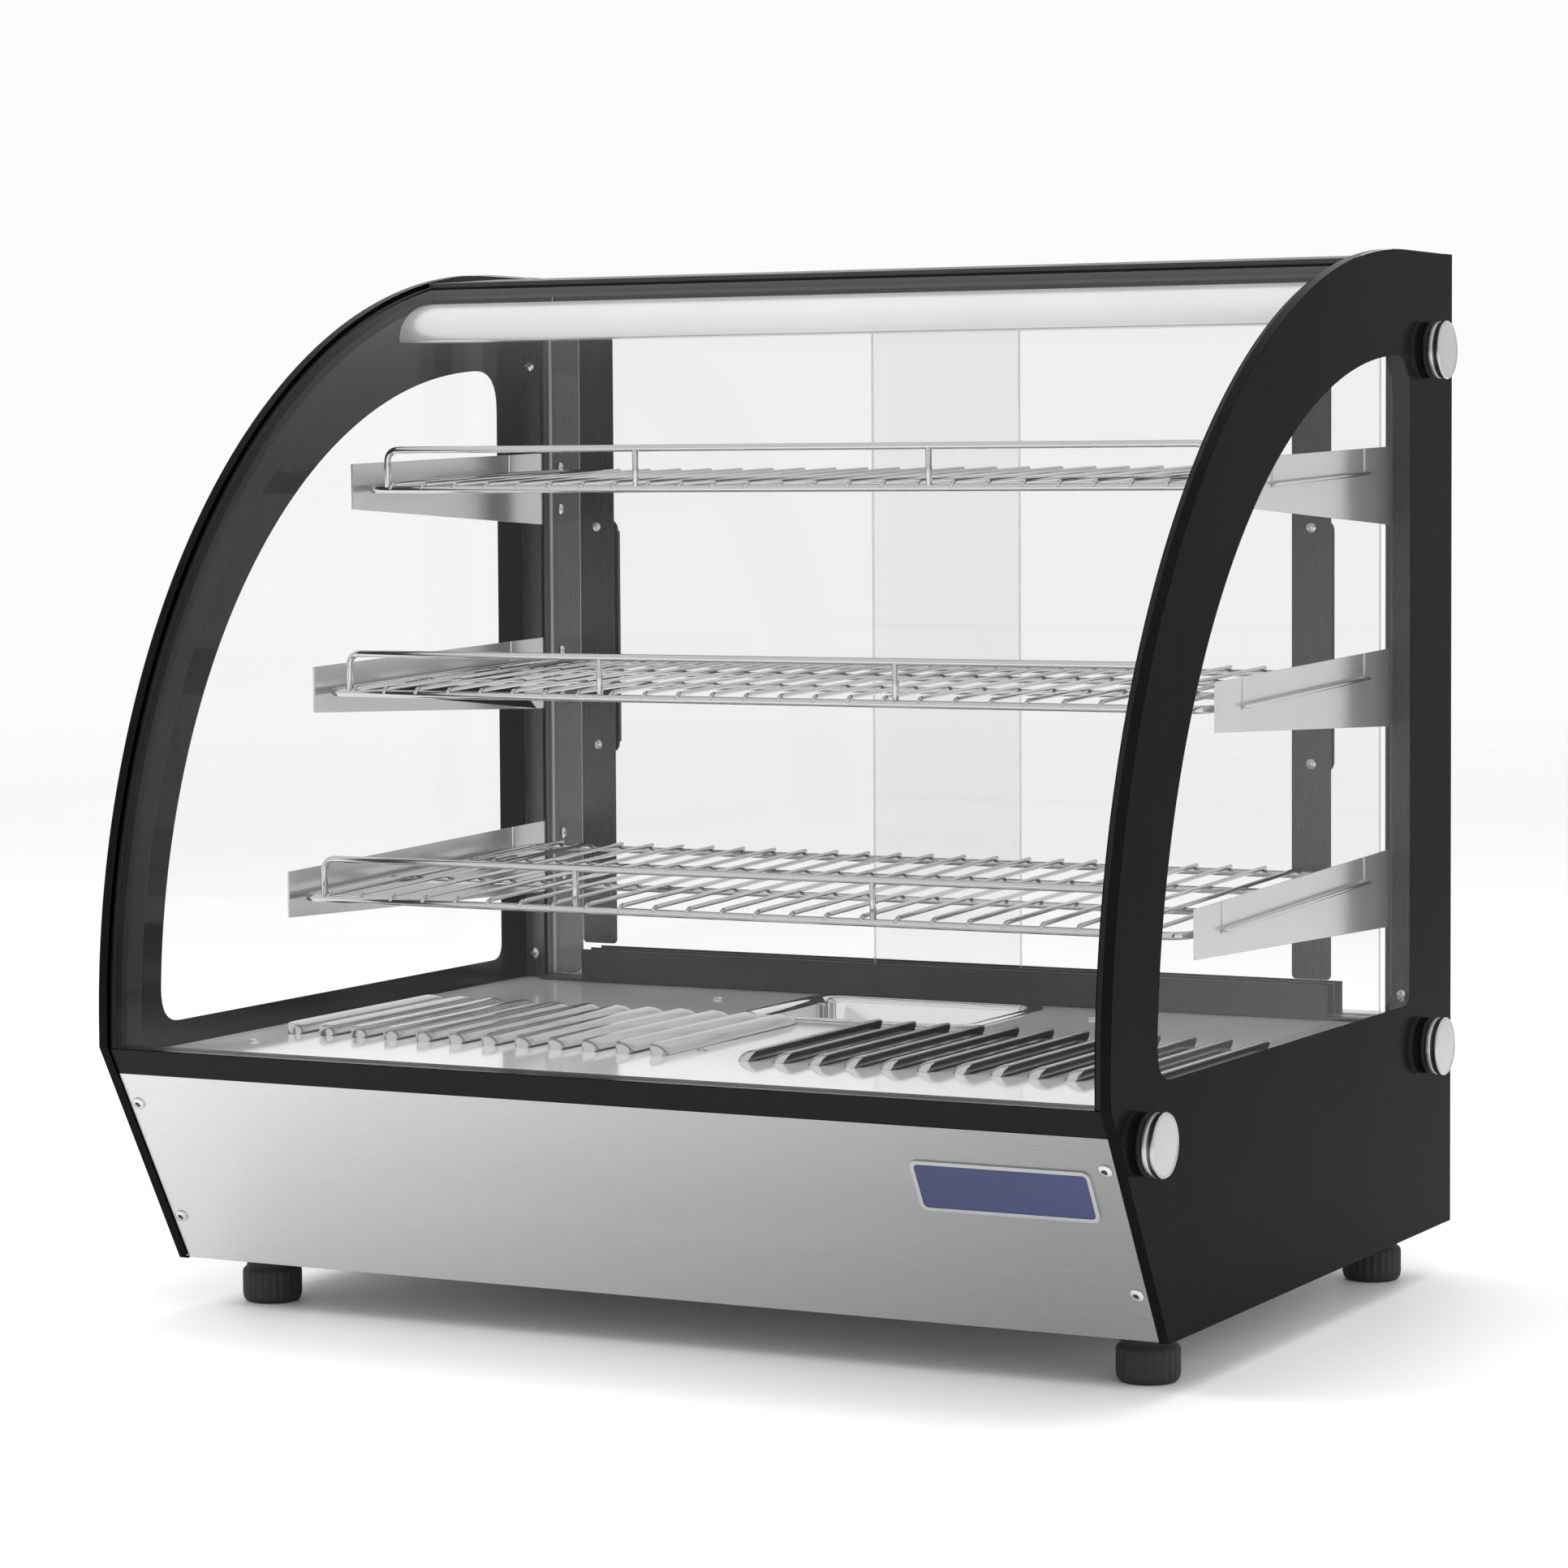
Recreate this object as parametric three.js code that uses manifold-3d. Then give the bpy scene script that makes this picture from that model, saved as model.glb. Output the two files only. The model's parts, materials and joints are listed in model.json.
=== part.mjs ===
// Countertop heated display case with a curved glass front, three wire shelves and sliding rear doors.
// Millimetres, +Z up. The front faces -Y. The origin is on the surface the case stands on, at the middle
// of its width and depth.
import * as THREE from "three";
import { mergeVertices } from "three/addons/utils/BufferGeometryUtils.js";
import Module from "manifold-3d";

const wasm = await Module();
wasm.setup();

// Driving dimensions
const WIDTH = 678; // over the outer faces of the side glasses
const DEPTH = 568;
const TOP_Z = 668; // top edge of the side glasses
const BODY_Z = 33; // underside of the body, held up by the feet
const SIDE_GLASS = 6;
const FRONT_GLASS = 6;
const FRONT_RADIUS = 476; // outline of the side glasses
const FLAT_TOP = 92; // straight top edge behind the curve
const KINK_Z = 177; // below this the front slopes back
const CHIN_DEPTH = 84; // how far the sloping front runs back
const DECK_Z = 170; // upper face of the deck
const SHEET = 1.2;
const HEAVY_SHEET = 1.5;
const GAP = 0.3; // between pieces that touch

const HALF = WIDTH / 2;
const INNER = HALF - SIDE_GLASS;
const REAR = DEPTH / 2;
const ARC_Y = REAR - FLAT_TOP;
const ARC_Z = TOP_Z - FRONT_RADIUS;

// Glass front, its gaskets and the lamp canopy follow the same arc centre
const GLASS_RADIUS = FRONT_RADIUS - 3;
const GASKET_DEPTH = 31;
const GASKET_THICK = 4.2;
const GLASS_END = 181.5; // distance of the glass front's upper end from the rear edge
const SILL_TOP = 176;
const SILL_BOTTOM = 160;
const COVER_FRONT = 180;
const COVER_FRONT_Z = [648, 659.5];
const CANOPY_FRONT = 226;
const CANOPY_NOSE = [45, 25]; // depth and height of its rounded front
const CANOPY_Z = 645;

// Rear structure, as distances from the rear edge of the side glasses
const POST_FRONT = 57;
const POST_REAR = 6;
const POST_IN = 317;
const POST_TOP = 640;
const TRACK_FRONT = 71;
const TRACK_REAR = 41;
const TRACK_LIP = 193; // top of the lower track's lips
const TRACK_HALF = 279; // the lips stop short of the posts
const UPPER_TRACK_Z = 627;
const PANEL_SETBACK = 20;

// Sliding doors
const DOOR_HALF = 312.5;
const DOOR_OVERLAP = 52;
const DOOR_GLASS = 4;
const DOOR_BOTTOM = 172.8;
const DOOR_TOP = 632;
const INNER_DOOR = 64.7; // front face of the inner door's glass
const OUTER_DOOR = 52.2;
const STRIP_X = [253, 280];
const LEFT_STRIP_OUT = 7; // the left door's strip and handle stand this much further out
const STRIP_Z = [196, 624.5];
const HANDLE_Z = [331, 496];

// Shelves and their brackets, from the bottom up
const SHELF_FRONTS = [384, 351, 302];
const LEDGE_Z = 262; // bottom shelf's ledge, LEDGE_AT from the rear edge
const LEDGE_AT = 110;
const SHELF_PITCH = 130.5;
const SHELF_TILT = THREE.MathUtils.degToRad(2);
const SHELF_HALF = 309;
const SHELF_REAR = 82;
const FRAME_WIRE = 2.5;
const GRID_WIRE = 1.5;
const GRID_PITCH = 24;
const GRID_COUNT = 25;
const RAIL_HEIGHT = 26;
const RAIL_HALF = 291;
const RAIL_POST_X = 104;
const BRACKET_IN = 315.2;
const SLIT_FRONT_INSET = 41;

// Deck louvres and water pan
const LOUVRE_COUNT = 12;
const LOUVRE_FIRST = 31;
const LOUVRE_PITCH = 24.2;
const LOUVRE_Y = [415, 230];
const LOUVRE_RISE = 7;
const LOUVRE_WIDTH = 12;
const PAN_RIM = { half: 86, front: 209.5, rear: 74.5 };
const PAN_DEPTH = 58;

// Feet and the stand-off caps on the side glasses
const FOOT_X = 304;
const FOOT_Y = [431, 54];
const FOOT_RADIUS = 19;
const CAP_RADIUS = 19;
const CAP_OUT = 12;
const CAPS = { upper: [42, 605], lower: [44, 154], front: [517, 152] };

// Controls on the rear panel, as X and Z of their centres
const KNOB = [150, 100];
const DISPLAY = [60, 100];
const SWITCHES = [-20, -52];
const SWITCH_Z = 100;
const INLET = [-270, 70];
const VENT_STARTS = [-230, 200];

const y = (fromRear) => REAR - fromRear;
const clamp = (value, low, high) => Math.min(high, Math.max(low, value));

// Solids

function solid(geometry) {
  const bare = geometry.clone();
  for (const name of Object.keys(bare.attributes)) if (name !== "position") bare.deleteAttribute(name);
  const merged = mergeVertices(bare, 1e-3);
  const triVerts = new Uint32Array(merged.index.array);
  const vertProperties = new Float32Array(merged.attributes.position.array);
  const made = new wasm.Manifold(new wasm.Mesh({ numProp: 3, vertProperties, triVerts }));
  if (made.volume() >= 0) return made;
  for (let i = 0; i < triVerts.length; i += 3) {
    [triVerts[i + 1], triVerts[i + 2]] = [triVerts[i + 2], triVerts[i + 1]];
  }
  return new wasm.Manifold(new wasm.Mesh({ numProp: 3, vertProperties, triVerts }));
}

function geometryOf(made) {
  const mesh = made.getMesh();
  const geometry = new THREE.BufferGeometry();
  geometry.setAttribute("position", new THREE.BufferAttribute(mesh.vertProperties, 3));
  geometry.setIndex(new THREE.BufferAttribute(mesh.triVerts, 1));
  geometry.computeVertexNormals();
  return geometry;
}

function join(...pieces) {
  return geometryOf(pieces.map(solid).reduce((all, next) => all.add(next)));
}

function cut(piece, ...tools) {
  return geometryOf(tools.map(solid).reduce((all, next) => all.subtract(next), solid(piece)));
}

function box(x0, x1, y0, y1, z0, z1) {
  const geometry = new THREE.BoxGeometry(x1 - x0, y1 - y0, z1 - z0);
  return geometry.translate((x0 + x1) / 2, (y0 + y1) / 2, (z0 + z1) / 2);
}

function outline(points) {
  return new THREE.Shape(points.map(([a, b]) => new THREE.Vector2(a, b)));
}

function extrude(shape, depth, curveSegments = 6) {
  return new THREE.ExtrudeGeometry(shape, { depth, bevelEnabled: false, curveSegments });
}

// A section drawn in Y and Z, run along X
function alongX(shape, x0, x1, curveSegments) {
  const turn = new THREE.Matrix4().makeBasis(
    new THREE.Vector3(0, 1, 0),
    new THREE.Vector3(0, 0, 1),
    new THREE.Vector3(1, 0, 0),
  );
  return extrude(shape, x1 - x0, curveSegments).applyMatrix4(turn).translate(x0, 0, 0);
}

// A section drawn in X and Z, run along Y
function alongY(shape, y0, y1, curveSegments) {
  return extrude(shape, y1 - y0, curveSegments).rotateX(Math.PI / 2).translate(0, y1, 0);
}

// A section drawn in X and Y, run along Z
function alongZ(shape, z0, z1, curveSegments) {
  return extrude(shape, z1 - z0, curveSegments).translate(0, 0, z0);
}

function disc(radius, length, sides = 24) {
  return new THREE.CylinderGeometry(radius, radius, length, sides);
}

// A cylinder whose axis lies along Y, from y0 to y1
function pinY(radius, x, y0, y1, z, sides) {
  return disc(radius, y1 - y0, sides).translate(x, (y0 + y1) / 2, z);
}

// A cylinder whose axis lies along X, from x0 to x1
function pinX(radius, x0, x1, yAt, z, sides) {
  return disc(radius, x1 - x0, sides).rotateZ(Math.PI / 2).translate((x0 + x1) / 2, yAt, z);
}

function mirrored(geometry) {
  return geometryOf(solid(geometry.clone().scale(-1, 1, 1)));
}

// An open line of points given thickness on its left, as a bent sheet is
function sheetSection(points, thickness) {
  const at = points.map(([a, b]) => new THREE.Vector2(a, b));
  const left = at.map((point, i) => {
    const before = i > 0 ? point.clone().sub(at[i - 1]).normalize() : null;
    const after = i < at.length - 1 ? at[i + 1].clone().sub(point).normalize() : null;
    const first = before ?? after;
    const last = after ?? before;
    const normal = new THREE.Vector2(-first.y - last.y, first.x + last.x).normalize();
    const stretch = thickness / (normal.x * -first.y + normal.y * first.x);
    return point.clone().addScaledVector(normal, stretch);
  });
  return new THREE.Shape([...at, ...left.reverse()]);
}

function roundedRectangle(x0, y0, x1, y1, radius) {
  const shape = new THREE.Shape();
  shape.absarc(x1 - radius, y0 + radius, radius, -Math.PI / 2, 0, false);
  shape.absarc(x1 - radius, y1 - radius, radius, 0, Math.PI / 2, false);
  shape.absarc(x0 + radius, y1 - radius, radius, Math.PI / 2, Math.PI, false);
  shape.absarc(x0 + radius, y0 + radius, radius, Math.PI, Math.PI * 1.5, false);
  shape.closePath();
  return shape;
}

function circleHole(a, b, radius) {
  const hole = new THREE.Path();
  hole.absarc(a, b, radius, 0, Math.PI * 2, true);
  return hole;
}

// A path through exact points, so that a bent wire keeps its corners
class WirePath extends THREE.Curve {
  constructor(points) {
    super();
    this.points = points;
  }
  getPoint(t, target = new THREE.Vector3()) {
    const place = clamp(t, 0, 1) * (this.points.length - 1);
    const i = Math.min(Math.floor(place + 1e-9), this.points.length - 2);
    return target.lerpVectors(this.points[i], this.points[i + 1], place - i);
  }
  getPointAt(t, target) {
    return this.getPoint(t, target);
  }
  getTangentAt(t, target = new THREE.Vector3()) {
    const i = Math.round(t * (this.points.length - 1));
    const ahead = this.points[Math.min(i + 1, this.points.length - 1)];
    const behind = this.points[Math.max(i - 1, 0)];
    return target.subVectors(ahead, behind).normalize();
  }
}

// A wire through the given corners, each rounded to the bend radius in a few steps
function wire(corners, radius, bend = 0, sides = 6, bendSteps = 3) {
  const at = corners.map((c) => new THREE.Vector3(...c));
  const points = [];
  at.forEach((corner, i) => {
    if (!bend || i === 0 || i === at.length - 1) return points.push(corner);
    const start = corner.clone().lerp(at[i - 1], Math.min(0.5, bend / corner.distanceTo(at[i - 1])));
    const end = corner.clone().lerp(at[i + 1], Math.min(0.5, bend / corner.distanceTo(at[i + 1])));
    const curve = new THREE.QuadraticBezierCurve3(start, corner, end);
    for (let step = 0; step <= bendSteps; step++) points.push(curve.getPoint(step / bendSteps));
    return points.length;
  });
  const section = new THREE.Shape();
  for (let side = 0; side < sides; side++) {
    const angle = ((side + 0.5) / sides) * Math.PI * 2;
    const place = [Math.cos(angle) * radius, Math.sin(angle) * radius];
    if (side) section.lineTo(...place);
    else section.moveTo(...place);
  }
  section.closePath();
  const extrudePath = new WirePath(points);
  return new THREE.ExtrudeGeometry(section, { steps: points.length - 1, extrudePath });
}

// Shared outlines

// How far back from the front the sloping chin is at a height, in Y
function chinY(z) {
  return -REAR + (CHIN_DEPTH * (KINK_Z - z)) / (KINK_Z - BODY_Z);
}

// The band between two radii of the front curve, from the upper end down to a straight foot
function frontBand(outer, inner, endFromRear, footZ) {
  const back = FLAT_TOP - endFromRear;
  const outerEnd = Math.PI / 2 + Math.asin(-back / outer);
  const innerEnd = Math.PI / 2 + Math.asin(-back / inner);
  const shape = new THREE.Shape();
  shape.absarc(ARC_Y, ARC_Z, outer, outerEnd, Math.PI, false);
  shape.lineTo(ARC_Y - outer, footZ);
  shape.lineTo(ARC_Y - inner, footZ);
  shape.absarc(ARC_Y, ARC_Z, inner, Math.PI, innerEnd, true);
  shape.closePath();
  return shape;
}

// Glass and the pieces around it

function sideGlass() {
  const shape = new THREE.Shape();
  shape.moveTo(REAR, BODY_Z);
  shape.lineTo(REAR, TOP_Z);
  shape.absarc(ARC_Y, ARC_Z, FRONT_RADIUS, Math.PI / 2, Math.PI, false);
  shape.lineTo(-REAR, KINK_Z);
  shape.lineTo(-REAR + CHIN_DEPTH, BODY_Z);
  shape.closePath();
  const holes = Object.values(CAPS).map(([fromRear, z]) => pinX(5, INNER - 1, HALF + 1, y(fromRear), z, 12));
  return cut(alongX(shape, INNER, HALF, 32), ...holes);
}

function frontGlass() {
  const edge = INNER - GASKET_THICK - 2 * GAP;
  const band = frontBand(GLASS_RADIUS, GLASS_RADIUS - FRONT_GLASS, GLASS_END, SILL_TOP + GAP);
  return alongX(band, -edge, edge, 28);
}

function gasket() {
  const band = frontBand(GLASS_RADIUS, FRONT_RADIUS - GASKET_DEPTH, GLASS_END, SILL_TOP + GAP);
  return alongX(band, INNER - GAP - GASKET_THICK, INNER - GAP, 20);
}

function glassSill() {
  const front = 1.5;
  const shape = outline([
    [chinY(SILL_TOP) + front, SILL_TOP],
    [chinY(SILL_BOTTOM) + front, SILL_BOTTOM],
    [y(542), SILL_BOTTOM],
    [y(542), SILL_TOP],
  ]);
  return alongX(shape, -INNER + GAP, INNER - GAP);
}

function topCover() {
  const top = TOP_Z - 3.5;
  const shape = sheetSection(
    [
      [y(COVER_FRONT), COVER_FRONT_Z[0]],
      [y(COVER_FRONT), COVER_FRONT_Z[1]],
      [y(100), top],
      [y(4), top],
      [y(4), top - 30],
    ],
    -HEAVY_SHEET,
  );
  return alongX(shape, -INNER + GAP, INNER - GAP);
}

// A rounded nose under the top cover's front, with a return that hides the lamp
function lampCanopy() {
  const edge = INNER - GASKET_THICK - 2 * GAP;
  const [deep, high] = CANOPY_NOSE;
  const line = [[y(120), CANOPY_Z]];
  const steps = 8;
  for (let i = 0; i <= steps; i++) {
    const angle = ((Math.PI / 2) * i) / steps;
    const front = CANOPY_FRONT - deep + Math.sin(angle) * deep;
    line.push([y(front), CANOPY_Z - high + Math.cos(angle) * high]);
  }
  line.push([y(CANOPY_FRONT - 2), CANOPY_Z - high - 2], [y(195), CANOPY_Z - high - 2]);
  return alongX(sheetSection(line, SHEET), -edge, edge);
}

function lampHousing() {
  const channel = sheetSection(
    [
      [y(190), 619],
      [y(190), 627],
      [y(166), 627],
      [y(166), 619],
    ],
    -HEAVY_SHEET,
  );
  const hangers = [-220, 220].map((x) => box(x - 12, x + 12, y(181), y(175), 626, CANOPY_Z - SHEET - GAP));
  return join(alongX(channel, -300, 300), ...hangers);
}

function lampLens() {
  return box(-298, 298, y(188.2), y(167.8), 619, 622.5);
}

// Rear structure

function rearPost() {
  const side = POST_IN;
  const out = INNER - GAP;
  const section = sheetSection(
    [
      [out, y(POST_FRONT)],
      [side, y(POST_FRONT)],
      [side, y(POST_REAR)],
      [out, y(POST_REAR)],
    ],
    -HEAVY_SHEET,
  );
  return alongZ(section, DECK_Z + GAP, POST_TOP);
}

function trackSection(base, lipTip, thickness) {
  const grooves = [TRACK_FRONT, (INNER_DOOR - DOOR_GLASS + OUTER_DOOR) / 2 + 0.75, TRACK_REAR + thickness];
  return { grooves, lips: grooves.map((d) => [y(d), y(d) + thickness, base, lipTip]) };
}

function lowerTrack() {
  const base = DECK_Z + GAP;
  const { lips } = trackSection(base, TRACK_LIP, HEAVY_SHEET);
  const out = BRACKET_IN - 1.5;
  const plate = box(-out, out, y(TRACK_FRONT), y(TRACK_REAR), base, base + 2);
  return join(plate, ...lips.map(([y0, y1, z0, z1]) => box(-TRACK_HALF, TRACK_HALF, y0, y1, z0, z1)));
}

function upperTrack() {
  const top = POST_TOP - 1;
  const { lips } = trackSection(UPPER_TRACK_Z, top, HEAVY_SHEET);
  const out = BRACKET_IN - 1.5;
  const plate = box(-out, out, y(TRACK_FRONT), y(TRACK_REAR), top - 2, top);
  return join(plate, ...lips.map(([y0, y1, z0, z1]) => box(-out, out, y0, y1, z0, z1)));
}

// Doors: side is -1 for the left door and 1 for the right, front is the glass's front face from the rear

function acrossX(side, near, far, y0, y1, z0, z1) {
  const a = side * near;
  const b = side * far;
  return box(Math.min(a, b), Math.max(a, b), y0, y1, z0, z1);
}

function doorGlass(side, front) {
  return acrossX(side, -DOOR_OVERLAP, DOOR_HALF, y(front), y(front) + DOOR_GLASS, DOOR_BOTTOM, DOOR_TOP);
}

function stripX(side) {
  return STRIP_X.map((x) => x + (side < 0 ? LEFT_STRIP_OUT : 0));
}

function doorStrip(side, front) {
  const face = y(front) - GAP;
  return acrossX(side, ...stripX(side), face - SHEET, face, ...STRIP_Z);
}

function doorHandle(side, front) {
  const face = y(front) + DOOR_GLASS + GAP;
  const [near, far] = stripX(side);
  const plate = acrossX(side, near, far, face, face + HEAVY_SHEET, ...HANDLE_Z);
  const pull = acrossX(side, near, near + HEAVY_SHEET, face, face + 4.5, ...HANDLE_Z);
  return join(plate, pull);
}

// Shelves

function ledgeZ(level, fromRear) {
  return LEDGE_Z + level * SHELF_PITCH - Math.tan(SHELF_TILT) * (fromRear - LEDGE_AT);
}

function shelfBracket(level) {
  const front = SHELF_FRONTS[level] + 5;
  const rear = 15;
  const shape = outline([
    [y(rear), ledgeZ(level, rear) + 18],
    [y(front), ledgeZ(level, front) + 20],
    [y(front), ledgeZ(level, front) - 10],
    [y(61), ledgeZ(level, 61) - 32],
    [y(rear), ledgeZ(level, 61) - 32],
  ]);
  const out = BRACKET_IN + HEAVY_SHEET;
  const plate = alongX(shape, BRACKET_IN, out);
  const slitFront = front - SLIT_FRONT_INSET;
  const slits = [LEDGE_AT - 6, slitFront].map((d) =>
    box(BRACKET_IN - 1, out + 1, y(d) - 1.5, y(d) + 1.5, ledgeZ(level, d) + 0.5, ledgeZ(level, d) + 30),
  );
  const lip = outline([
    [y(LEDGE_AT), ledgeZ(level, LEDGE_AT)],
    [y(slitFront - 4), ledgeZ(level, slitFront - 4)],
    [y(slitFront - 4), ledgeZ(level, slitFront - 4) - HEAVY_SHEET],
    [y(LEDGE_AT), ledgeZ(level, LEDGE_AT) - HEAVY_SHEET],
  ]);
  return join(cut(plate, ...slits), alongX(lip, BRACKET_IN - 8, out));
}

// The shelf is drawn level with its frame resting at z = 0 and its ledge point at y = 0, then tilted
function shelf(level) {
  const front = LEDGE_AT - SHELF_FRONTS[level];
  const back = LEDGE_AT - SHELF_REAR;
  const mid = FRAME_WIRE;
  const gridZ = mid + FRAME_WIRE + GRID_WIRE - 0.8;
  const bend = 14;
  const half = (side) =>
    wire(
      [
        [-side, back, mid],
        [side * SHELF_HALF, back, mid],
        [side * SHELF_HALF, front, mid],
        [-side, front, mid],
      ],
      FRAME_WIRE,
      bend,
    );
  const railZ = mid + RAIL_HEIGHT;
  const rail = wire(
    [
      [-RAIL_HALF, front, mid],
      [-RAIL_HALF, front, railZ],
      [RAIL_HALF, front, railZ],
      [RAIL_HALF, front, mid],
    ],
    2.2,
    9,
  );
  const uprights = [-1, 1].map((side) =>
    wire(
      [
        [side * RAIL_POST_X, front, mid],
        [side * RAIL_POST_X, front, railZ],
      ],
      2,
      0,
      5,
    ),
  );
  const crossings = [0.36, 0.7].map((share) => {
    const across = front + (back - front) * share;
    return wire(
      [
        [-SHELF_HALF, across, mid],
        [SHELF_HALF, across, mid],
      ],
      2.1,
      0,
      4,
    );
  });
  const grid = Array.from({ length: GRID_COUNT }, (_, i) => {
    const x = (i - (GRID_COUNT - 1) / 2) * GRID_PITCH;
    return wire(
      [
        [x, front - 1, gridZ],
        [x, back + 1, gridZ],
      ],
      GRID_WIRE,
      0,
      4,
    );
  });
  const made = join(half(-1), half(1), rail, ...uprights, ...crossings, ...grid);
  return made.rotateX(SHELF_TILT).translate(0, y(LEDGE_AT), ledgeZ(level, LEDGE_AT) + GAP);
}

// Body

function deck() {
  const front = y(539);
  const plate = box(-INNER + GAP, INNER - GAP, front, y(5), DECK_Z - SHEET, DECK_Z);
  const hole = roundedRectangle(-80.5, y(204), 80.5, y(80), 16);
  const louvres = [];
  const slots = [];
  for (const side of [-1, 1]) {
    for (let i = 0; i < LOUVRE_COUNT; i++) {
      const x = side * (LOUVRE_FIRST + i * LOUVRE_PITCH);
      louvres.push(...louvre(x, side));
      const across = [side * x - 3.5, side * x + 5.8];
      slots.push(acrossX(side, ...across, y(LOUVRE_Y[0] - 2), y(LOUVRE_Y[1] + 2), 160, 180));
    }
  }
  const open = cut(plate, alongZ(hole, DECK_Z - 5, DECK_Z + 5, 4), ...slots);
  return join(open, ...louvres);
}

// A raised hood, closed at its ends and open away from the middle of the deck
function louvre(x, side) {
  const wide = LOUVRE_WIDTH / 2;
  const low = DECK_Z - 0.5;
  const line = [
    [x - side * wide, low],
    [x - side * (wide - 2), low + LOUVRE_RISE * 0.75],
    [x + side * wide, low + LOUVRE_RISE],
  ];
  const hood = alongY(sheetSection(line, -side), y(LOUVRE_Y[0]), y(LOUVRE_Y[1]));
  const cheek = outline([...line, [x + side * wide, low]]);
  const cheeks = LOUVRE_Y.map((d, end) => alongY(cheek, y(d) - end, y(d) + 1 - end));
  return [hood, ...cheeks];
}

function waterPan() {
  const rimZ = DECK_Z + GAP;
  const { half, front, rear } = PAN_RIM;
  const inset = 7;
  const wall = SHEET;
  const rim = alongZ(roundedRectangle(-half, y(front), half, y(rear), 20), rimZ, rimZ + wall, 5);
  const outer = roundedRectangle(-half + inset, y(front - inset), half - inset, y(rear + inset), 15);
  const skin = inset + wall;
  const inner = roundedRectangle(-half + skin, y(front - skin), half - skin, y(rear + skin), 14);
  const basin = alongZ(outer, rimZ - PAN_DEPTH, rimZ + 0.5, 5);
  return cut(join(rim, basin), alongZ(inner, rimZ - PAN_DEPTH + wall, rimZ + 5, 5));
}

function frontPanel() {
  const inset = 1.5;
  const bottom = BODY_Z + 0.4;
  const top = SILL_BOTTOM - GAP;
  const line = [
    [chinY(top) + 14, top],
    [chinY(top) + inset, top],
    [chinY(bottom) + inset, bottom],
    [chinY(bottom) + 16, bottom],
  ];
  return alongX(sheetSection(line, SHEET), -INNER + GAP, INNER - GAP);
}

function baseTray() {
  const floorZ = BODY_Z + 2;
  const back = y(PANEL_SETBACK - 2);
  const top = DECK_Z - SHEET - GAP;
  const edge = INNER - GAP;
  const front = chinY(floorZ) + 4;
  const wall = outline([
    [front, floorZ + 4],
    [front + 6, floorZ],
    [back, floorZ],
    [back, top],
    [y(541), top],
    [y(541), 150],
    [chinY(150) + 5, 150],
  ]);
  const walls = [-edge, edge - HEAVY_SHEET].map((x) => alongX(wall, x, x + HEAVY_SHEET));
  return join(box(-edge + 0.5, edge - 0.5, front + 8, back, floorZ, floorZ + HEAVY_SHEET), ...walls);
}

function rearPanel() {
  const edge = INNER - GAP - HEAVY_SHEET - GAP;
  const bottom = BODY_Z + 2 + HEAVY_SHEET + GAP;
  const face = y(PANEL_SETBACK);
  const through = [face - 2, face + SHEET + 2];
  const middle = (SWITCHES[0] + SWITCHES[1]) / 2;
  const holes = [
    pinY(5, KNOB[0], ...through, KNOB[1], 16),
    box(INLET[0] - 16, INLET[0] + 16, ...through, INLET[1] - 12, INLET[1] + 12),
    box(DISPLAY[0] - 26, DISPLAY[0] + 26, ...through, DISPLAY[1] - 13, DISPLAY[1] + 13),
    box(middle - 29, middle + 29, ...through, SWITCH_Z - 13, SWITCH_Z + 13),
  ];
  for (const start of VENT_STARTS) {
    for (let row = 0; row < 2; row++) {
      for (let i = 0; i < 6; i++) {
        const x = start + i * 16;
        holes.push(box(x, x + 5, ...through, 80 + row * 38, 108 + row * 38));
      }
    }
  }
  return cut(box(-edge, edge, face, face + SHEET, bottom, DECK_Z - SHEET - GAP), ...holes);
}

// Fittings

function standOffCap([fromRear, z]) {
  const profile = [
    [0, GAP],
    [11, GAP],
    [11, 5],
    [CAP_RADIUS - 2, 5],
    [CAP_RADIUS - 2, 7.5],
    [CAP_RADIUS, 8.5],
    [CAP_RADIUS, CAP_OUT - 1],
    [CAP_RADIUS - 1, CAP_OUT],
    [0, CAP_OUT],
  ].map(([radius, out]) => new THREE.Vector2(radius, out));
  const cap = new THREE.LatheGeometry(profile, 18).rotateZ(-Math.PI / 2);
  return cap.translate(HALF, y(fromRear), z);
}

function foot(x, fromRear) {
  const stud = 4;
  const profile = [
    [0, 0],
    [FOOT_RADIUS - 2.5, 0],
    [FOOT_RADIUS, 2.5],
    [FOOT_RADIUS, 20],
    [FOOT_RADIUS - 3, 23],
    [FOOT_RADIUS - 3, 26],
    [FOOT_RADIUS - 6, BODY_Z - 0.6],
    [stud, BODY_Z - 0.6],
    [stud, BODY_Z + 1.4],
    [0, BODY_Z + 1.4],
  ].map(([radius, up]) => new THREE.Vector2(radius, up));
  return new THREE.LatheGeometry(profile, 18).rotateX(Math.PI / 2).translate(x, y(fromRear), 0);
}

function thermostatKnob() {
  const back = y(PANEL_SETBACK) + SHEET + 0.5;
  const skirt = pinY(19, KNOB[0], back, back + 4, KNOB[1], 28);
  const body = pinY(15, KNOB[0], back + 3.5, back + 15, KNOB[1], 24);
  const grip = box(KNOB[0] - 3.5, KNOB[0] + 3.5, back + 3.5, back + 17, KNOB[1] - 15.5, KNOB[1] + 15.5);
  const bore = pinY(3.3, KNOB[0], back - 1, back + 10, KNOB[1], 16);
  return cut(join(skirt, body, grip), bore);
}

function thermostatBody() {
  const panel = y(PANEL_SETBACK) - GAP;
  const housing = box(KNOB[0] - 22, KNOB[0] + 22, panel - 26, panel, KNOB[1] - 20, KNOB[1] + 20);
  return join(housing, pinY(3, KNOB[0], panel - 1, panel + 11, KNOB[1], 12));
}

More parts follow.
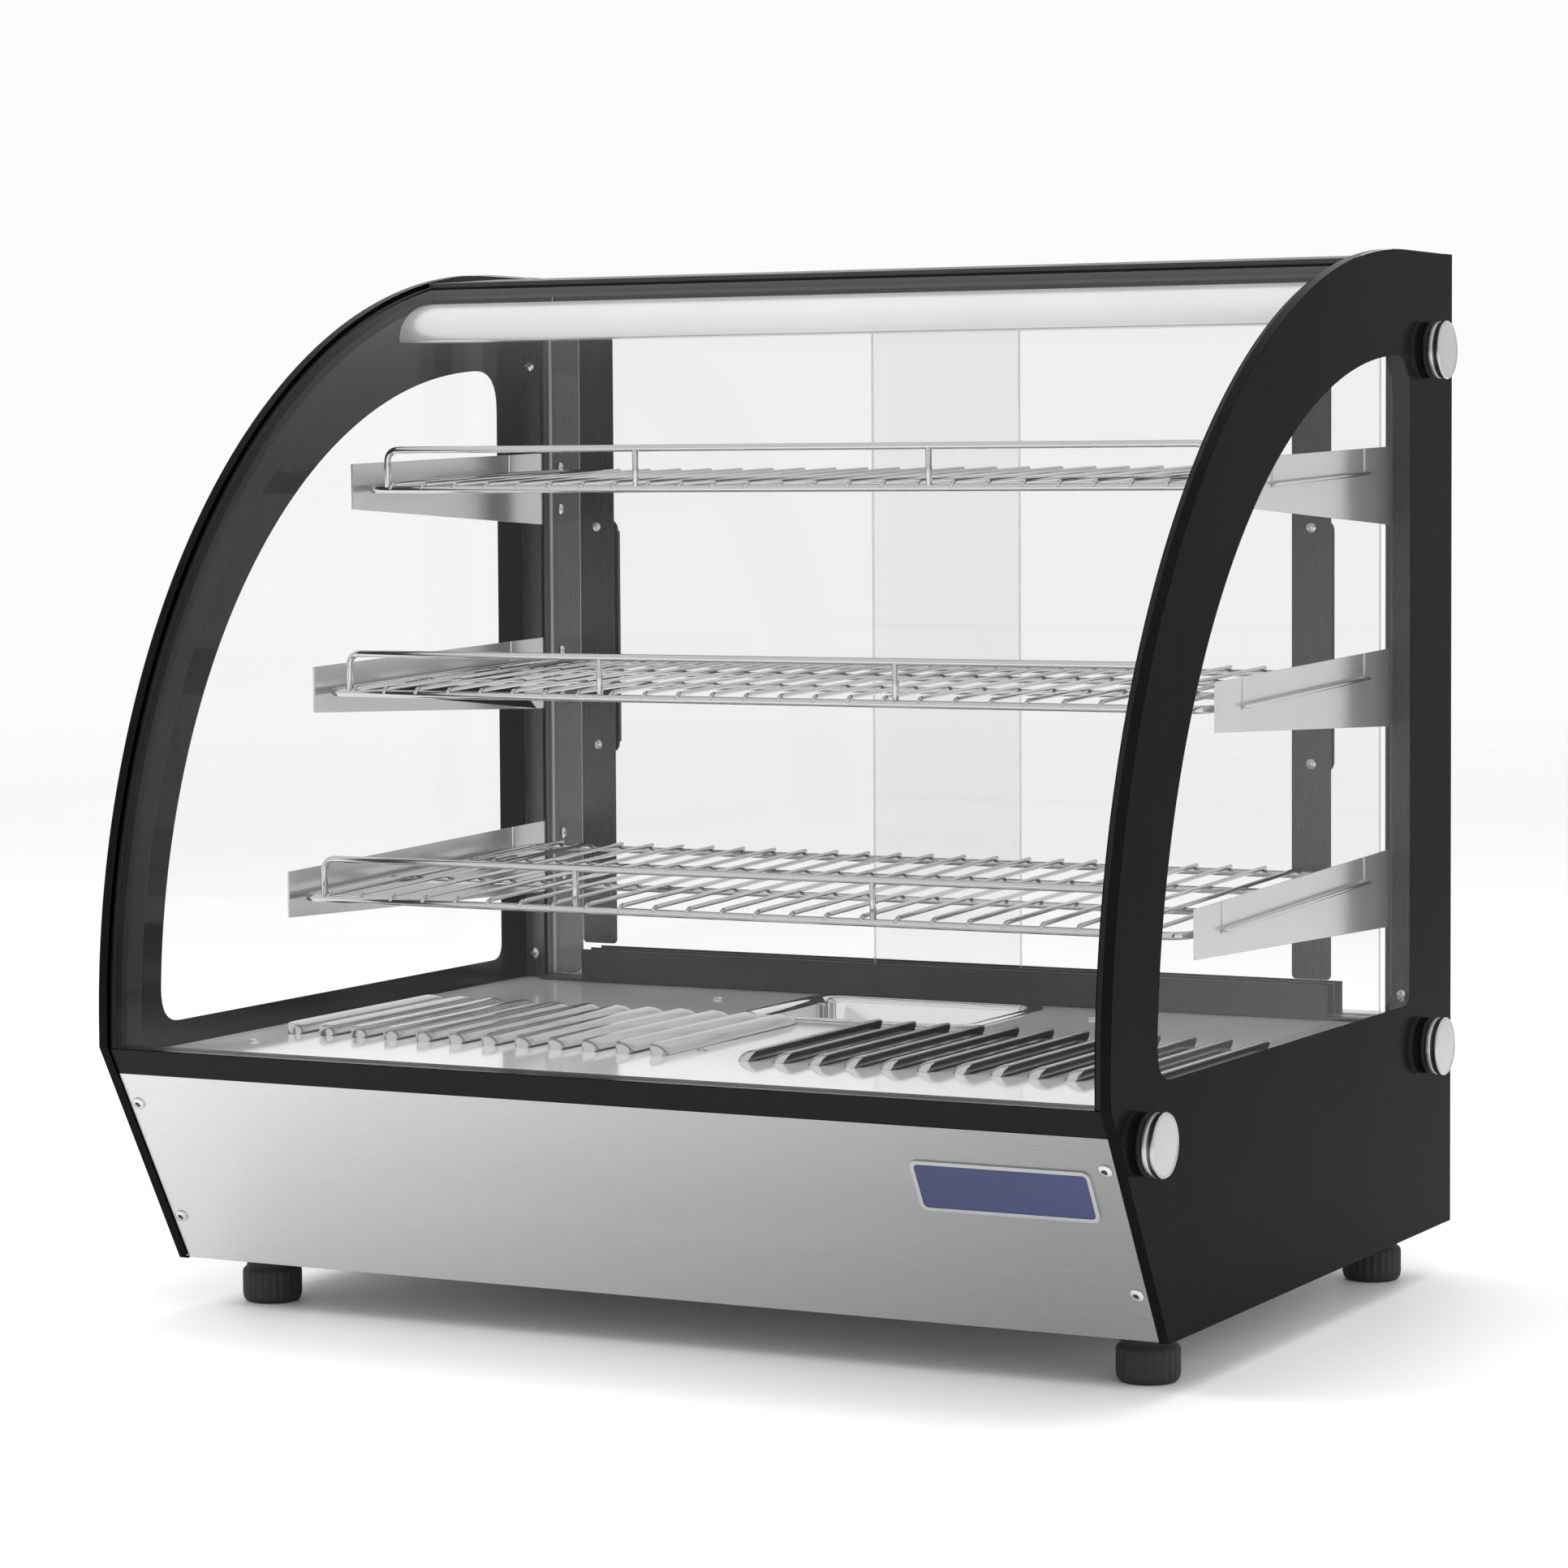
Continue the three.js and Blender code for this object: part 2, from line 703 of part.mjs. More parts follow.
function temperatureDisplay() {
  const face = y(PANEL_SETBACK) + SHEET + GAP;
  const [x, z] = DISPLAY;
  return join(
    box(x - 29, x + 29, face, face + 3, z - 16, z + 16),
    box(x - 25, x + 25, face - 28, face + 0.5, z - 12, z + 12),
  );
}

function switchFrame() {
  const face = y(PANEL_SETBACK) + SHEET + GAP;
  const middle = (SWITCHES[0] + SWITCHES[1]) / 2;
  const z = SWITCH_Z;
  const bezel = box(middle - 32, middle + 32, face, face + 2.5, z - 16, z + 16);
  const body = box(middle - 28, middle + 28, face - 22, face + 0.5, z - 12, z + 12);
  const wells = SWITCHES.map((x) => box(x - 11, x + 11, face - 9, face + 5, z - 10.5, z + 10.5));
  return cut(join(bezel, body), ...wells);
}

// A rocker whose face is dished about a pin across it
function rocker(x) {
  const face = y(PANEL_SETBACK) + SHEET + GAP;
  const z = SWITCH_Z;
  const shape = outline([
    [face - 5, z - 6],
    [face + 0.5, z - 9.3],
    [face + 4.3, z - 9],
    [face + 3.2, z],
    [face + 6, z + 8.6],
    [face + 0.8, z + 9.6],
    [face - 5, z + 6],
  ]);
  return alongX(shape, x - 10.2, x + 10.2);
}

function powerInlet() {
  const [x, z] = INLET;
  const face = y(PANEL_SETBACK) + SHEET + GAP;
  const flange = box(x - 25, x + 25, face, face + 3, z - 14.5, z + 14.5);
  const body = box(x - 15, x + 15, face - 20, face + 0.5, z - 11, z + 11);
  const recess = box(x - 12, x + 12, face - 16, face + 4, z - 8, z + 8);
  const blades = [-7, 0, 7].map((across) => {
    const up = across ? z - 1 : z + 2;
    return box(x + across - 1, x + across + 1, face - 17, face - 2, up - 2, up + 2);
  });
  return join(cut(join(flange, body), recess), ...blades);
}

function terminalBlock() {
  const floor = BODY_Z + 2 + HEAVY_SHEET + GAP;
  const block = box(-240, -180, y(75), y(53), floor, floor + 22);
  const pockets = [0, 1, 2].map((i) => {
    const x = -230 + i * 20;
    return box(x - 6, x + 6, y(71), y(57), floor + 12, floor + 30);
  });
  return cut(block, ...pockets);
}

const ELEMENT_Z = 118;
const ELEMENT_X = 250;
const ELEMENT_Y = [250, 290, 330, 370, 410];

function heatingElement() {
  const corners = [[-300, y(ELEMENT_Y[0]), ELEMENT_Z]];
  ELEMENT_Y.forEach((d, i) => {
    const side = i % 2 ? -1 : 1;
    corners.push([side * ELEMENT_X, y(d), ELEMENT_Z]);
    if (i < ELEMENT_Y.length - 1) corners.push([side * ELEMENT_X, y(ELEMENT_Y[i + 1]), ELEMENT_Z]);
  });
  corners[corners.length - 1] = [300, y(ELEMENT_Y.at(-1)), ELEMENT_Z];
  return wire(corners, 4, 18, 6, 2);
}

// A comb that the element's runs lie in
function elementBracket(x) {
  const floor = BODY_Z + 2 + HEAVY_SHEET + GAP;
  const seat = ELEMENT_Z - 4.6;
  const shape = new THREE.Shape();
  shape.moveTo(y(425), floor);
  shape.lineTo(y(235), floor);
  shape.lineTo(y(235), seat + 8);
  for (const d of ELEMENT_Y) {
    shape.lineTo(y(d) + 5, seat + 8);
    shape.lineTo(y(d) + 5, seat);
    shape.lineTo(y(d) - 5, seat);
    shape.lineTo(y(d) - 5, seat + 8);
  }
  shape.lineTo(y(425), seat + 8);
  shape.closePath();
  const web = alongX(shape, x, x + HEAVY_SHEET);
  return join(web, box(x, x + 15, y(425), y(235), floor, floor + HEAVY_SHEET));
}

const FAN = { x: 0, fromRear: 225, z: 83, half: 46, thick: 25, bore: 42 };

function fanHousing() {
  const { x, fromRear, z, half, thick, bore } = FAN;
  const shape = roundedRectangle(x - half, z - half, x + half, z + half, 6);
  shape.holes.push(circleHole(x, z, bore));
  const frame = alongY(shape, y(fromRear) - thick / 2, y(fromRear) + thick / 2, 6);
  const back = y(fromRear) + thick / 2;
  const motor = pinY(17, x, back - 3, back, z, 20);
  const arms = [0, 1, 2].map((i) => {
    const arm = box(-2, 2, back - 3, back, 0, bore + 2);
    return arm.translate(0, 0, 0).applyMatrix4(
      new THREE.Matrix4()
        .makeTranslation(x, 0, z)
        .multiply(new THREE.Matrix4().makeRotationY((i * Math.PI * 2) / 3)),
    );
  });
  return join(frame, motor, ...arms);
}

function fanImpeller() {
  const { x, fromRear, z, bore } = FAN;
  const front = y(fromRear) - FAN.thick / 2 + 2;
  const hub = pinY(15, x, front, front + 19, z, 20);
  const blades = Array.from({ length: 7 }, (_, i) => {
    const blade = new THREE.BoxGeometry(1.6, 17, bore - 14);
    blade.rotateZ(0.7).translate(0, 0, 14 + (bore - 14) / 2 - 2);
    blade.rotateY((i * Math.PI * 2) / 7);
    return blade.translate(x, front + 9.5, z);
  });
  return join(hub, ...blades);
}

function badgePlate() {
  const low = 104;
  const high = 142;
  const out = 0.3;
  const shape = outline([
    [chinY(low) - out, low],
    [chinY(low) + 1.2, low],
    [chinY(high) + 1.2, high],
    [chinY(high) - out, high],
  ]);
  return alongX(shape, 204, 316);
}

// Materials and assembly

const finish = (color, roughness, metalness, opacity = 1) =>
  new THREE.MeshStandardMaterial({ color, roughness, metalness, opacity, transparent: opacity < 1 });

const clearGlass = finish(0xdfe9e8, 0.05, 0, 0.3);
const borderedGlass = finish(0x1b1b1c, 0.08, 0, 0.6);
const blackSheet = finish(0x1d1d1e, 0.4, 0.3);
const blackPlastic = finish(0x161617, 0.5, 0);
const rubber = finish(0x121213, 0.85, 0);
const brushedSteel = finish(0xb9babb, 0.35, 1);
const polishedSteel = finish(0xc9cacb, 0.12, 1);
const chrome = finish(0xd2d3d4, 0.08, 1);
const satinCap = finish(0xc4c5c6, 0.3, 1);
const elementSteel = finish(0x6d6a66, 0.5, 0.8);
const lampWhite = finish(0xf2f0ea, 0.5, 0);
const blankPlate = finish(0x9ea3a8, 0.35, 0.8);

const part = new THREE.Group();

function add(name, geometry, material) {
  const mesh = new THREE.Mesh(geometry, material);
  mesh.name = name;
  part.add(mesh);
}

function addPair(name, geometry, material) {
  add(`left_${name}`, mirrored(geometry), material);
  add(`right_${name}`, geometry, material);
}

function addBody() {
  add("base_tray", baseTray(), brushedSteel);
  add("front_panel", frontPanel(), brushedSteel);
  add("badge_plate", badgePlate(), blankPlate);
  add("glass_sill", glassSill(), blackPlastic);
  add("deck_plate", deck(), polishedSteel);
  add("water_pan", waterPan(), polishedSteel);
  add("rear_control_panel", rearPanel(), brushedSteel);
  add("top_cover", topCover(), blackSheet);
}

function addGlass() {
  addPair("side_glass", sideGlass(), borderedGlass);
  addPair("glass_gasket", gasket(), rubber);
  add("front_curved_glass", frontGlass(), clearGlass);
}

function addLamp() {
  add("lamp_canopy", lampCanopy(), polishedSteel);
  add("lamp_housing", lampHousing(), satinCap);
  add("lamp_lens", lampLens(), lampWhite);
}

function addRear() {
  addPair("rear_post", rearPost(), polishedSteel);
  add("upper_door_track", upperTrack(), blackSheet);
  add("lower_door_track", lowerTrack(), blackSheet);
  for (const [name, side, front] of [["left", -1, OUTER_DOOR], ["right", 1, INNER_DOOR]]) {
    add(`${name}_door_glass`, doorGlass(side, front), clearGlass);
    add(`${name}_door_strip`, doorStrip(side, front), polishedSteel);
    add(`${name}_door_handle`, doorHandle(side, front), blackSheet);
  }
}

function addShelves() {
  ["lower", "middle", "upper"].forEach((name, level) => {
    add(`${name}_shelf`, shelf(level), chrome);
    addPair(`${name}_shelf_bracket`, shelfBracket(level), polishedSteel);
  });
}

function addFittings() {
  for (const [place, at] of Object.entries(CAPS)) addPair(`${place}_glass_cap`, standOffCap(at), satinCap);
  ["front", "rear"].forEach((place, i) => {
    add(`${place}_left_foot`, foot(-FOOT_X, FOOT_Y[i]), rubber);
    add(`${place}_right_foot`, foot(FOOT_X, FOOT_Y[i]), rubber);
  });
}

function addControls() {
  add("thermostat_knob", thermostatKnob(), blackPlastic);
  add("thermostat_body", thermostatBody(), blackPlastic);
  add("temperature_display", temperatureDisplay(), blackPlastic);
  add("switch_frame", switchFrame(), blackPlastic);
  add("power_rocker", rocker(SWITCHES[0]), blackPlastic);
  add("lamp_rocker", rocker(SWITCHES[1]), blackPlastic);
  add("power_inlet", powerInlet(), blackPlastic);
}

function addHeating() {
  add("heating_element", heatingElement(), elementSteel);
  add("left_element_bracket", elementBracket(-200), brushedSteel);
  add("right_element_bracket", elementBracket(200), brushedSteel);
  add("fan_housing", fanHousing(), blackPlastic);
  add("fan_impeller", fanImpeller(), blackPlastic);
  add("terminal_block", terminalBlock(), lampWhite);
}

addBody();
addGlass();
addLamp();
addRear();
addShelves();
addFittings();
addControls();
addHeating();

export default part;
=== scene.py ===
"""Looks of the countertop heated display case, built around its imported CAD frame."""
import json
import math

import bmesh
import bpy
from mathutils import Matrix, Vector
from mathutils.geometry import tessellate_polygon

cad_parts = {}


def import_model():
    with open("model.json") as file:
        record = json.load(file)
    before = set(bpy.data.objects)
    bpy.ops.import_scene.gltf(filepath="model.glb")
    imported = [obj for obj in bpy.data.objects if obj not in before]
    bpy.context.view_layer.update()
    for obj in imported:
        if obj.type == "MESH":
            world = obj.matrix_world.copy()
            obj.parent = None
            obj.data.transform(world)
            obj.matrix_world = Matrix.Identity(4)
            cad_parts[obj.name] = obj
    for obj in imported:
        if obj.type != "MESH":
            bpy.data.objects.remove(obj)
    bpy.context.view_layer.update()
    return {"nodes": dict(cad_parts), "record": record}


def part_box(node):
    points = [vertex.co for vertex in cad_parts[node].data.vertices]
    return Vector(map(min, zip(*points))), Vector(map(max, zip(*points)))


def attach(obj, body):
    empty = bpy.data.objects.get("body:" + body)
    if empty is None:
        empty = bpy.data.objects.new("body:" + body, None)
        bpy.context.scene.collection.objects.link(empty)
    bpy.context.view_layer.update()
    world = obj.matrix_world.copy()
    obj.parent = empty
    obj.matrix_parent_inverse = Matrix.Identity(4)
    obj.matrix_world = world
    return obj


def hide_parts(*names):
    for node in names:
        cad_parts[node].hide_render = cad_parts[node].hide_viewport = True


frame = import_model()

MM = 0.001

# Sizes in millimetres that the CAD model is built from
ARC_RADIUS = 476
FRONT_GLASS = 6
GASKET_DEPTH = 31
KINK_Z = 177  # below this the front slopes back
CHIN_DEPTH, CHIN_HEIGHT = 84, 144
PANEL_INSET = 1.5
DECK_Z = 170.0
LEDGE_Y, LEDGE_Z = 174, 262.3  # where the bottom shelf rests and tilts
SHELF_PITCH = 130.5
SHELF_TILT = math.radians(2)

# Inner face of the dark sheets that cover the rear ends of the shelf brackets: painted reflection, for the
# dark rear part of each bracket
PAINTED_REFLECTION_SHEET_IN = 313.9

# Nearly all of a noise texture's values lie between these
NOISE_LOW, NOISE_HIGH = 0.3, 0.7


def box(node):
    """A CAD node's lowest and highest corners, in millimetres."""
    low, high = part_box(node)
    return low / MM, high / MM


def body_of(node):
    for body, members in frame["record"]["behaviour"]["bodies"].items():
        if node in members:
            return body
    raise ValueError(node)


GLASS_LOW, GLASS_HIGH = box("right_side_glass")
ARC_Y = GLASS_LOW.y + ARC_RADIUS
ARC_Z = GLASS_HIGH.z - ARC_RADIUS


# Materials

class Shade:
    """A Principled material with short calls for the procedural nodes that feed it."""

    def __init__(self, name, color, roughness, metallic=0.0, **more):
        self.material = bpy.data.materials.new(name)
        self.material.use_nodes = True
        self.tree = self.material.node_tree
        self.tree.nodes.clear()
        self.out = self.node("ShaderNodeOutputMaterial")
        self.bsdf = self.node("ShaderNodeBsdfPrincipled")
        self.link(self.bsdf.outputs[0], self.out.inputs["Surface"])
        self.place = self.node("ShaderNodeTexCoord").outputs["Object"]
        self.color = tuple(color) + (1,)
        self.bsdf.inputs["Base Color"].default_value = self.color
        self.bsdf.inputs["Roughness"].default_value = roughness
        self.bsdf.inputs["Metallic"].default_value = metallic
        for socket, value in more.items():
            self.bsdf.inputs[socket.replace("_", " ")].default_value = value

    def node(self, kind, **settings):
        made = self.tree.nodes.new(kind)
        for key, value in settings.items():
            setattr(made, key, value)
        return made

    def link(self, source, target):
        self.tree.links.new(source, target)

    def stretched(self, stretch):
        mapping = self.node("ShaderNodeMapping")
        mapping.inputs["Scale"].default_value = stretch
        self.link(self.place, mapping.inputs["Vector"])
        return mapping.outputs[0]

    def noise(self, scale, detail=3.0, roughness=0.5, stretch=(1, 1, 1)):
        made = self.node("ShaderNodeTexNoise")
        made.inputs["Scale"].default_value = scale
        made.inputs["Detail"].default_value = detail
        made.inputs["Roughness"].default_value = roughness
        self.link(self.stretched(stretch), made.inputs["Vector"])
        return made.outputs["Fac"]

    def span(self, value, low, high, start=NOISE_LOW, end=NOISE_HIGH):
        made = self.node("ShaderNodeMapRange")
        made.inputs["From Min"].default_value = start
        made.inputs["From Max"].default_value = end
        made.inputs["To Min"].default_value = low
        made.inputs["To Max"].default_value = high
        self.link(value, made.inputs["Value"])
        return made.outputs[0]

    def fade(self, axis, light, dark):
        """A value for tint that goes from light to dark between two places on an axis, in metres: a painted
        light fade.
        """
        split = self.node("ShaderNodeSeparateXYZ")
        self.link(self.place, split.inputs[0])
        return self.span(split.outputs[axis], NOISE_HIGH, NOISE_LOW, light, dark)

    def calculate(self, operation, *values):
        made = self.node("ShaderNodeMath", operation=operation)
        for socket, value in zip(made.inputs, values):
            if isinstance(value, bpy.types.NodeSocket):
                self.link(value, socket)
            else:
                socket.default_value = value
        return made.outputs[0]

    def tint(self, value, dark, light):
        """Base colour between two multiples of the material's own colour."""
        ramp = self.node("ShaderNodeValToRGB")
        ends = ramp.color_ramp.elements
        ends[0].position, ends[1].position = NOISE_LOW, NOISE_HIGH
        ends[0].color = tuple(c * dark for c in self.color[:3]) + (1,)
        ends[1].color = tuple(min(1, c * light) for c in self.color[:3]) + (1,)
        self.link(value, ramp.inputs[0])
        self.link(ramp.outputs[0], self.bsdf.inputs["Base Color"])
        return self

    def rough(self, value, low, high):
        self.link(self.span(value, low, high), self.bsdf.inputs["Roughness"])
        return self

    def bump(self, height, strength, distance=0.0002):
        made = self.node("ShaderNodeBump")
        made.inputs["Strength"].default_value = strength
        made.inputs["Distance"].default_value = distance
        self.link(height, made.inputs["Height"])
        self.link(made.outputs[0], self.bsdf.inputs["Normal"])
        return self

    def blend(self, share, first, second):
        """Sends a blend of two shaders to the output instead of the Principled one."""
        made = self.node("ShaderNodeMixShader")
        self.link(share, made.inputs[0])
        self.link(first.outputs[0], made.inputs[1])
        self.link(second.outputs[0], made.inputs[2])
        self.link(made.outputs[0], self.out.inputs["Surface"])


def brushed(name, color, roughness, strength):
    """Stainless with fine lines along X."""
    shade = Shade(name, color, roughness, 1.0, Anisotropic=0.5)
    grain = shade.noise(1.0, 6, 0.65, (3, 700, 700))
    shade.rough(grain, roughness - 0.05, roughness + 0.09)
    return shade.bump(grain, strength, 0.00008)


def polished(name, color, roughness, metallic=1.0, **more):
    shade = Shade(name, color, roughness, metallic, **more)
    smudge = shade.noise(9, 4, 0.6)
    grain = shade.noise(1.0, 4, 0.6, (300, 6, 300))
    shade.tint(smudge, 0.95, 1.03)
    shade.rough(smudge, roughness, roughness + 0.05)
    return shade.bump(grain, 0.03, 0.00005)


def coated(name, color, roughness, grain=900, strength=0.08, **more):
    """Paint, print, rubber or plastic, with a fine surface grain."""
    shade = Shade(name, color, roughness, **more)
    peel = shade.noise(grain, 2, 0.5)
    cloud = shade.noise(14, 4, 0.6)
    shade.tint(cloud, 0.85, 1.25)
    shade.rough(cloud, roughness - 0.04, roughness + 0.08)
    return shade.bump(peel, strength, 0.00015)


def thin_glass(name, clear):
    """Sheet glass that shows what is behind it unbent, and mirrors a little more at a slant."""
    shade = Shade(name, clear, 0.0)
    shade.tree.nodes.remove(shade.bsdf)
    through = shade.node("ShaderNodeBsdfTransparent")
    through.inputs["Color"].default_value = shade.color
    mirror = shade.node("ShaderNodeBsdfGlossy")
    mirror.inputs["Color"].default_value = (0.95, 0.97, 0.97, 1)
    wiped = shade.noise(7, 5, 0.65, (1, 1, 2.2))
    shade.link(shade.span(wiped, 0.0, 0.035, 0.45, 0.75), mirror.inputs["Roughness"])
    weight = shade.node("ShaderNodeLayerWeight")
    weight.inputs["Blend"].default_value = 0.5
    slant = shade.calculate("POWER", weight.outputs["Facing"], 5.0)
    shade.blend(shade.calculate("MULTIPLY_ADD", slant, 0.2, 0.012), through, mirror)
    return shade


def rear_steel():
    shade = brushed("brushed_rear_stainless", (0.56, 0.56, 0.565), 0.34, 0.12)
    return shade.tint(shade.noise(2.0, 2, 0.5, (1, 2, 3)), 0.94, 1.04)


def front_steel_painted_light():
    """Brushed stainless with painted light: lighter towards the left and darker to the right, as light falls
    on the front panel.
    """
    shade = brushed("brushed_front_stainless_painted_light", (0.5, 0.5, 0.505), 0.3, 0.08)
    # Painted light: the base colour falls from light on the left to dark on the right
    return shade.tint(shade.fade("X", -0.33, 0.33), 0.64, 1.25)


def dark_sheet_painted_light():
    """Dark satin sheet with painted light: nearly black high up, and greyer lower down as a painted reflection
    of the bright deck.
    """
    shade = Shade("dark_rear_sheet_painted_light", (0.05, 0.05, 0.051), 0.26, 0.7, IOR=1.33)
    # Painted reflection: the colour brightens from nearly black at the top to grey near the deck
    shade.tint(shade.fade("Z", 0.24, 0.56), 0.3, 1.6)
    grain = shade.noise(1.0, 6, 0.65, (500, 500, 3))
    shade.rough(grain, 0.22, 0.34)
    return shade.bump(grain, 0.04, 0.00008)


def heater_oxide():
    shade = Shade("heater_oxide", (0.19, 0.15, 0.12), 0.45, 0.9)
    shade.tint(shade.noise(30, 5, 0.6, (1, 3, 3)), 0.55, 1.5)
    return shade.bump(shade.noise(900, 3), 0.15)


STEEL_REAR = rear_steel()
MIRROR = polished("polished_stainless", (0.78, 0.785, 0.79), 0.09)
DECK = polished("satin_deck_sheet", (0.64, 0.642, 0.645), 0.06, 0.32, Specular_IOR_Level=0.12)
LOUVRE = polished("pressed_louvre_sheet", (0.5, 0.502, 0.505), 0.13, 0.88)
CANOPY = polished("satin_canopy_sheet", (0.6, 0.603, 0.606), 0.2, 0.5)
BRACKET = polished("satin_bracket_sheet", (0.56, 0.56, 0.565), 0.2, 0.75)
DARK_SHEET_PAINTED_LIGHT = dark_sheet_painted_light()
FRONT_STEEL_PAINTED_LIGHT = front_steel_painted_light()
TRIM = coated("dark_grey_trim", (0.03, 0.03, 0.031), 0.33, IOR=1.33)
TRACK = coated("dark_track_sheet", (0.04, 0.04, 0.041), 0.38, IOR=1.33)
WIRE = polished("chromed_wire", (0.56, 0.56, 0.565), 0.1)
CAP = polished("turned_cap_metal", (0.5, 0.5, 0.505), 0.24)
SCREW = polished("screw_steel", (0.6, 0.6, 0.61), 0.18)
BLACK_SHEET = coated("black_powder_coat", (0.018, 0.018, 0.019), 0.34)
PLASTIC = coated("black_moulded_plastic", (0.018, 0.018, 0.019), 0.42, 2200, 0.12)
SILL = coated("black_satin_sill", (0.006, 0.006, 0.0063), 0.4, 900, 0.05, IOR=1.33, Specular_IOR_Level=0.2)
RUBBER = coated("black_rubber", (0.013, 0.013, 0.013), 0.62, 1500, 0.2)
GASKET = coated("black_gasket", (0.008, 0.008, 0.0085), 0.3, 500, 0.05, IOR=1.33, Specular_IOR_Level=0.3)
PRINT = coated("black_glass_print", (0.004, 0.004, 0.0044), 0.1, 60, 0.004, IOR=1.2,
               Specular_IOR_Level=0.05)
EDGE = coated("polished_glass_edge", (0.004, 0.0045, 0.0045), 0.18, 120, 0.03, IOR=1.25,
              Specular_IOR_Level=0.1)
DOOR_EDGE = coated("clear_glass_edge", (0.5, 0.56, 0.54), 0.16, 120, 0.03, Alpha=0.5)
GLASS = thin_glass("sheet_glass", (0.985, 0.99, 0.988))
DOOR_GLASS = thin_glass("door_glass", (0.956, 0.959, 0.958))
LENS = coated("lamp_diffuser", (0.82, 0.82, 0.8), 0.45, 1200, 0.05)
WHITE = coated("terminal_plastic", (0.7, 0.69, 0.64), 0.45, 1800, 0.08)
PLATE = coated("blank_plate_enamel", (0.03, 0.04, 0.12), 0.3, 700, 0.03)
RED = coated("red_rocker", (0.45, 0.012, 0.01), 0.22, 1400, 0.03)
GREEN = coated("green_rocker", (0.01, 0.25, 0.05), 0.22, 1400, 0.03)
SCREEN = coated("display_window", (0.012, 0.008, 0.008), 0.07, 200, 0.01)
MARK = coated("white_marking", (0.75, 0.75, 0.74), 0.5, 900, 0.05)
# Near-black: print on the knob's scale, and painted shade inside the louvres and in the rivets' holes
DARK_PRINT_AND_PAINTED_SHADE = coated("dark_print_and_painted_shade", (0.012, 0.012, 0.012), 0.6, 900, 0.1)
HEATER = heater_oxide()


# Shapes: each is a list of points in millimetres and a list of faces

def moved(shape, matrix):
    points, faces = shape
    return [matrix @ Vector(p) for p in points], faces


def mirrored(shape):
    points, faces = shape
    return [(-p[0], p[1], p[2]) for p in points], faces


def both(name):
    """The left and the right node of a pair, with the sign of X on their side."""
    return [("left_" + name, -1), ("right_" + name, 1)]


def on_side(shape, side):
    """A right-hand shape, or its mirror image for the left."""
    return shape if side > 0 else mirrored(shape)


def facing(direction, place):
    """The matrix that turns +Z to a direction and moves the origin to a place."""
    return Matrix.Translation(Vector(place)) @ Vector(direction).to_track_quat("Z", "Y").to_matrix().to_4x4()


def skin(rows):
    """Faces between rows of point numbers. A row of one point is a tip."""
    faces = []
    for low, high in zip(rows, rows[1:]):
        sides = max(len(low), len(high))
        for k in range(sides):
            n = (k + 1) % sides
            if len(low) == 1:
                faces.append((low[0], high[n], high[k]))
            elif len(high) == 1:
                faces.append((low[k], low[n], high[0]))
            else:
                faces.append((low[k], low[n], high[n], high[k]))
    return faces


def numbered(count, size):
    """Rows of point numbers for rings of one size, drawn one after another."""
    return [tuple(range(i * size, (i + 1) * size)) for i in range(count)]


PLACES = {"X": lambda a, b, c: (c, a, b), "Y": lambda a, b, c: (a, c, b), "Z": lambda a, b, c: (a, b, c)}


def prism(outline, low, high, axis, holes=()):
    """A flat outline, with any holes, given thickness along an axis."""
    rings = [list(outline)] + [list(h) for h in holes]
    flat = [p for ring in rings for p in ring]
    count = len(flat)
    points = [PLACES[axis](a, b, c) for c in (low, high) for a, b in flat]
    if holes:
        caps = tessellate_polygon([[Vector((a, b, 0)) for a, b in ring] for ring in rings])
    else:
        caps = [tuple(range(count))]
    faces = [tuple(f) for f in caps] + [tuple(i + count for i in reversed(f)) for f in caps]
    start = 0
    for ring in rings:
        size = len(ring)
        for i in range(size):
            a, b = start + i, start + (i + 1) % size
            faces.append((a, b, b + count, a + count))
        start += size
    return points, faces


def block(x0, x1, y0, y1, z0, z1):
    return prism([(x0, y0), (x1, y0), (x1, y1), (x0, y1)], z0, z1, "Z")


def arc(center, radius, start, end, steps):
    """Points round a circle, between two angles in degrees."""
    angles = [math.radians(start + (end - start) * i / steps) for i in range(steps + 1)]
    return [(center[0] + radius * math.cos(a), center[1] + radius * math.sin(a)) for a in angles]


def bend(start, corner, end, steps=8):
    """A smooth corner between two points."""
    places = []
    for i in range(steps + 1):
        t = i / steps
        places.append(tuple((1 - t) ** 2 * s + 2 * t * (1 - t) * c + t * t * e
                            for s, c, e in zip(start, corner, end)))
    return places


def rounded(x0, y0, x1, y1, radius, steps=6):
    """A rectangle with rounded corners."""
    corners = [((x1 - radius, y0 + radius), -90), ((x1 - radius, y1 - radius), 0),
               ((x0 + radius, y1 - radius), 90), ((x0 + radius, y0 + radius), 180)]
    return [p for center, start in corners for p in arc(center, radius, start, start + 90, steps)]


def softened(corners, reach, steps):
    """A path through corners, each bent over a length of wire."""
    path = [Vector(corners[0])]
    for before, corner, after in zip(corners, corners[1:], corners[2:]):
        before, corner, after = Vector(before), Vector(corner), Vector(after)
        start = corner + (before - corner).normalized() * min(reach, (before - corner).length / 2)
        end = corner + (after - corner).normalized() * min(reach, (after - corner).length / 2)
        path += [Vector(p) for p in bend(start, corner, end, steps)]
    return path + [Vector(corners[-1])]


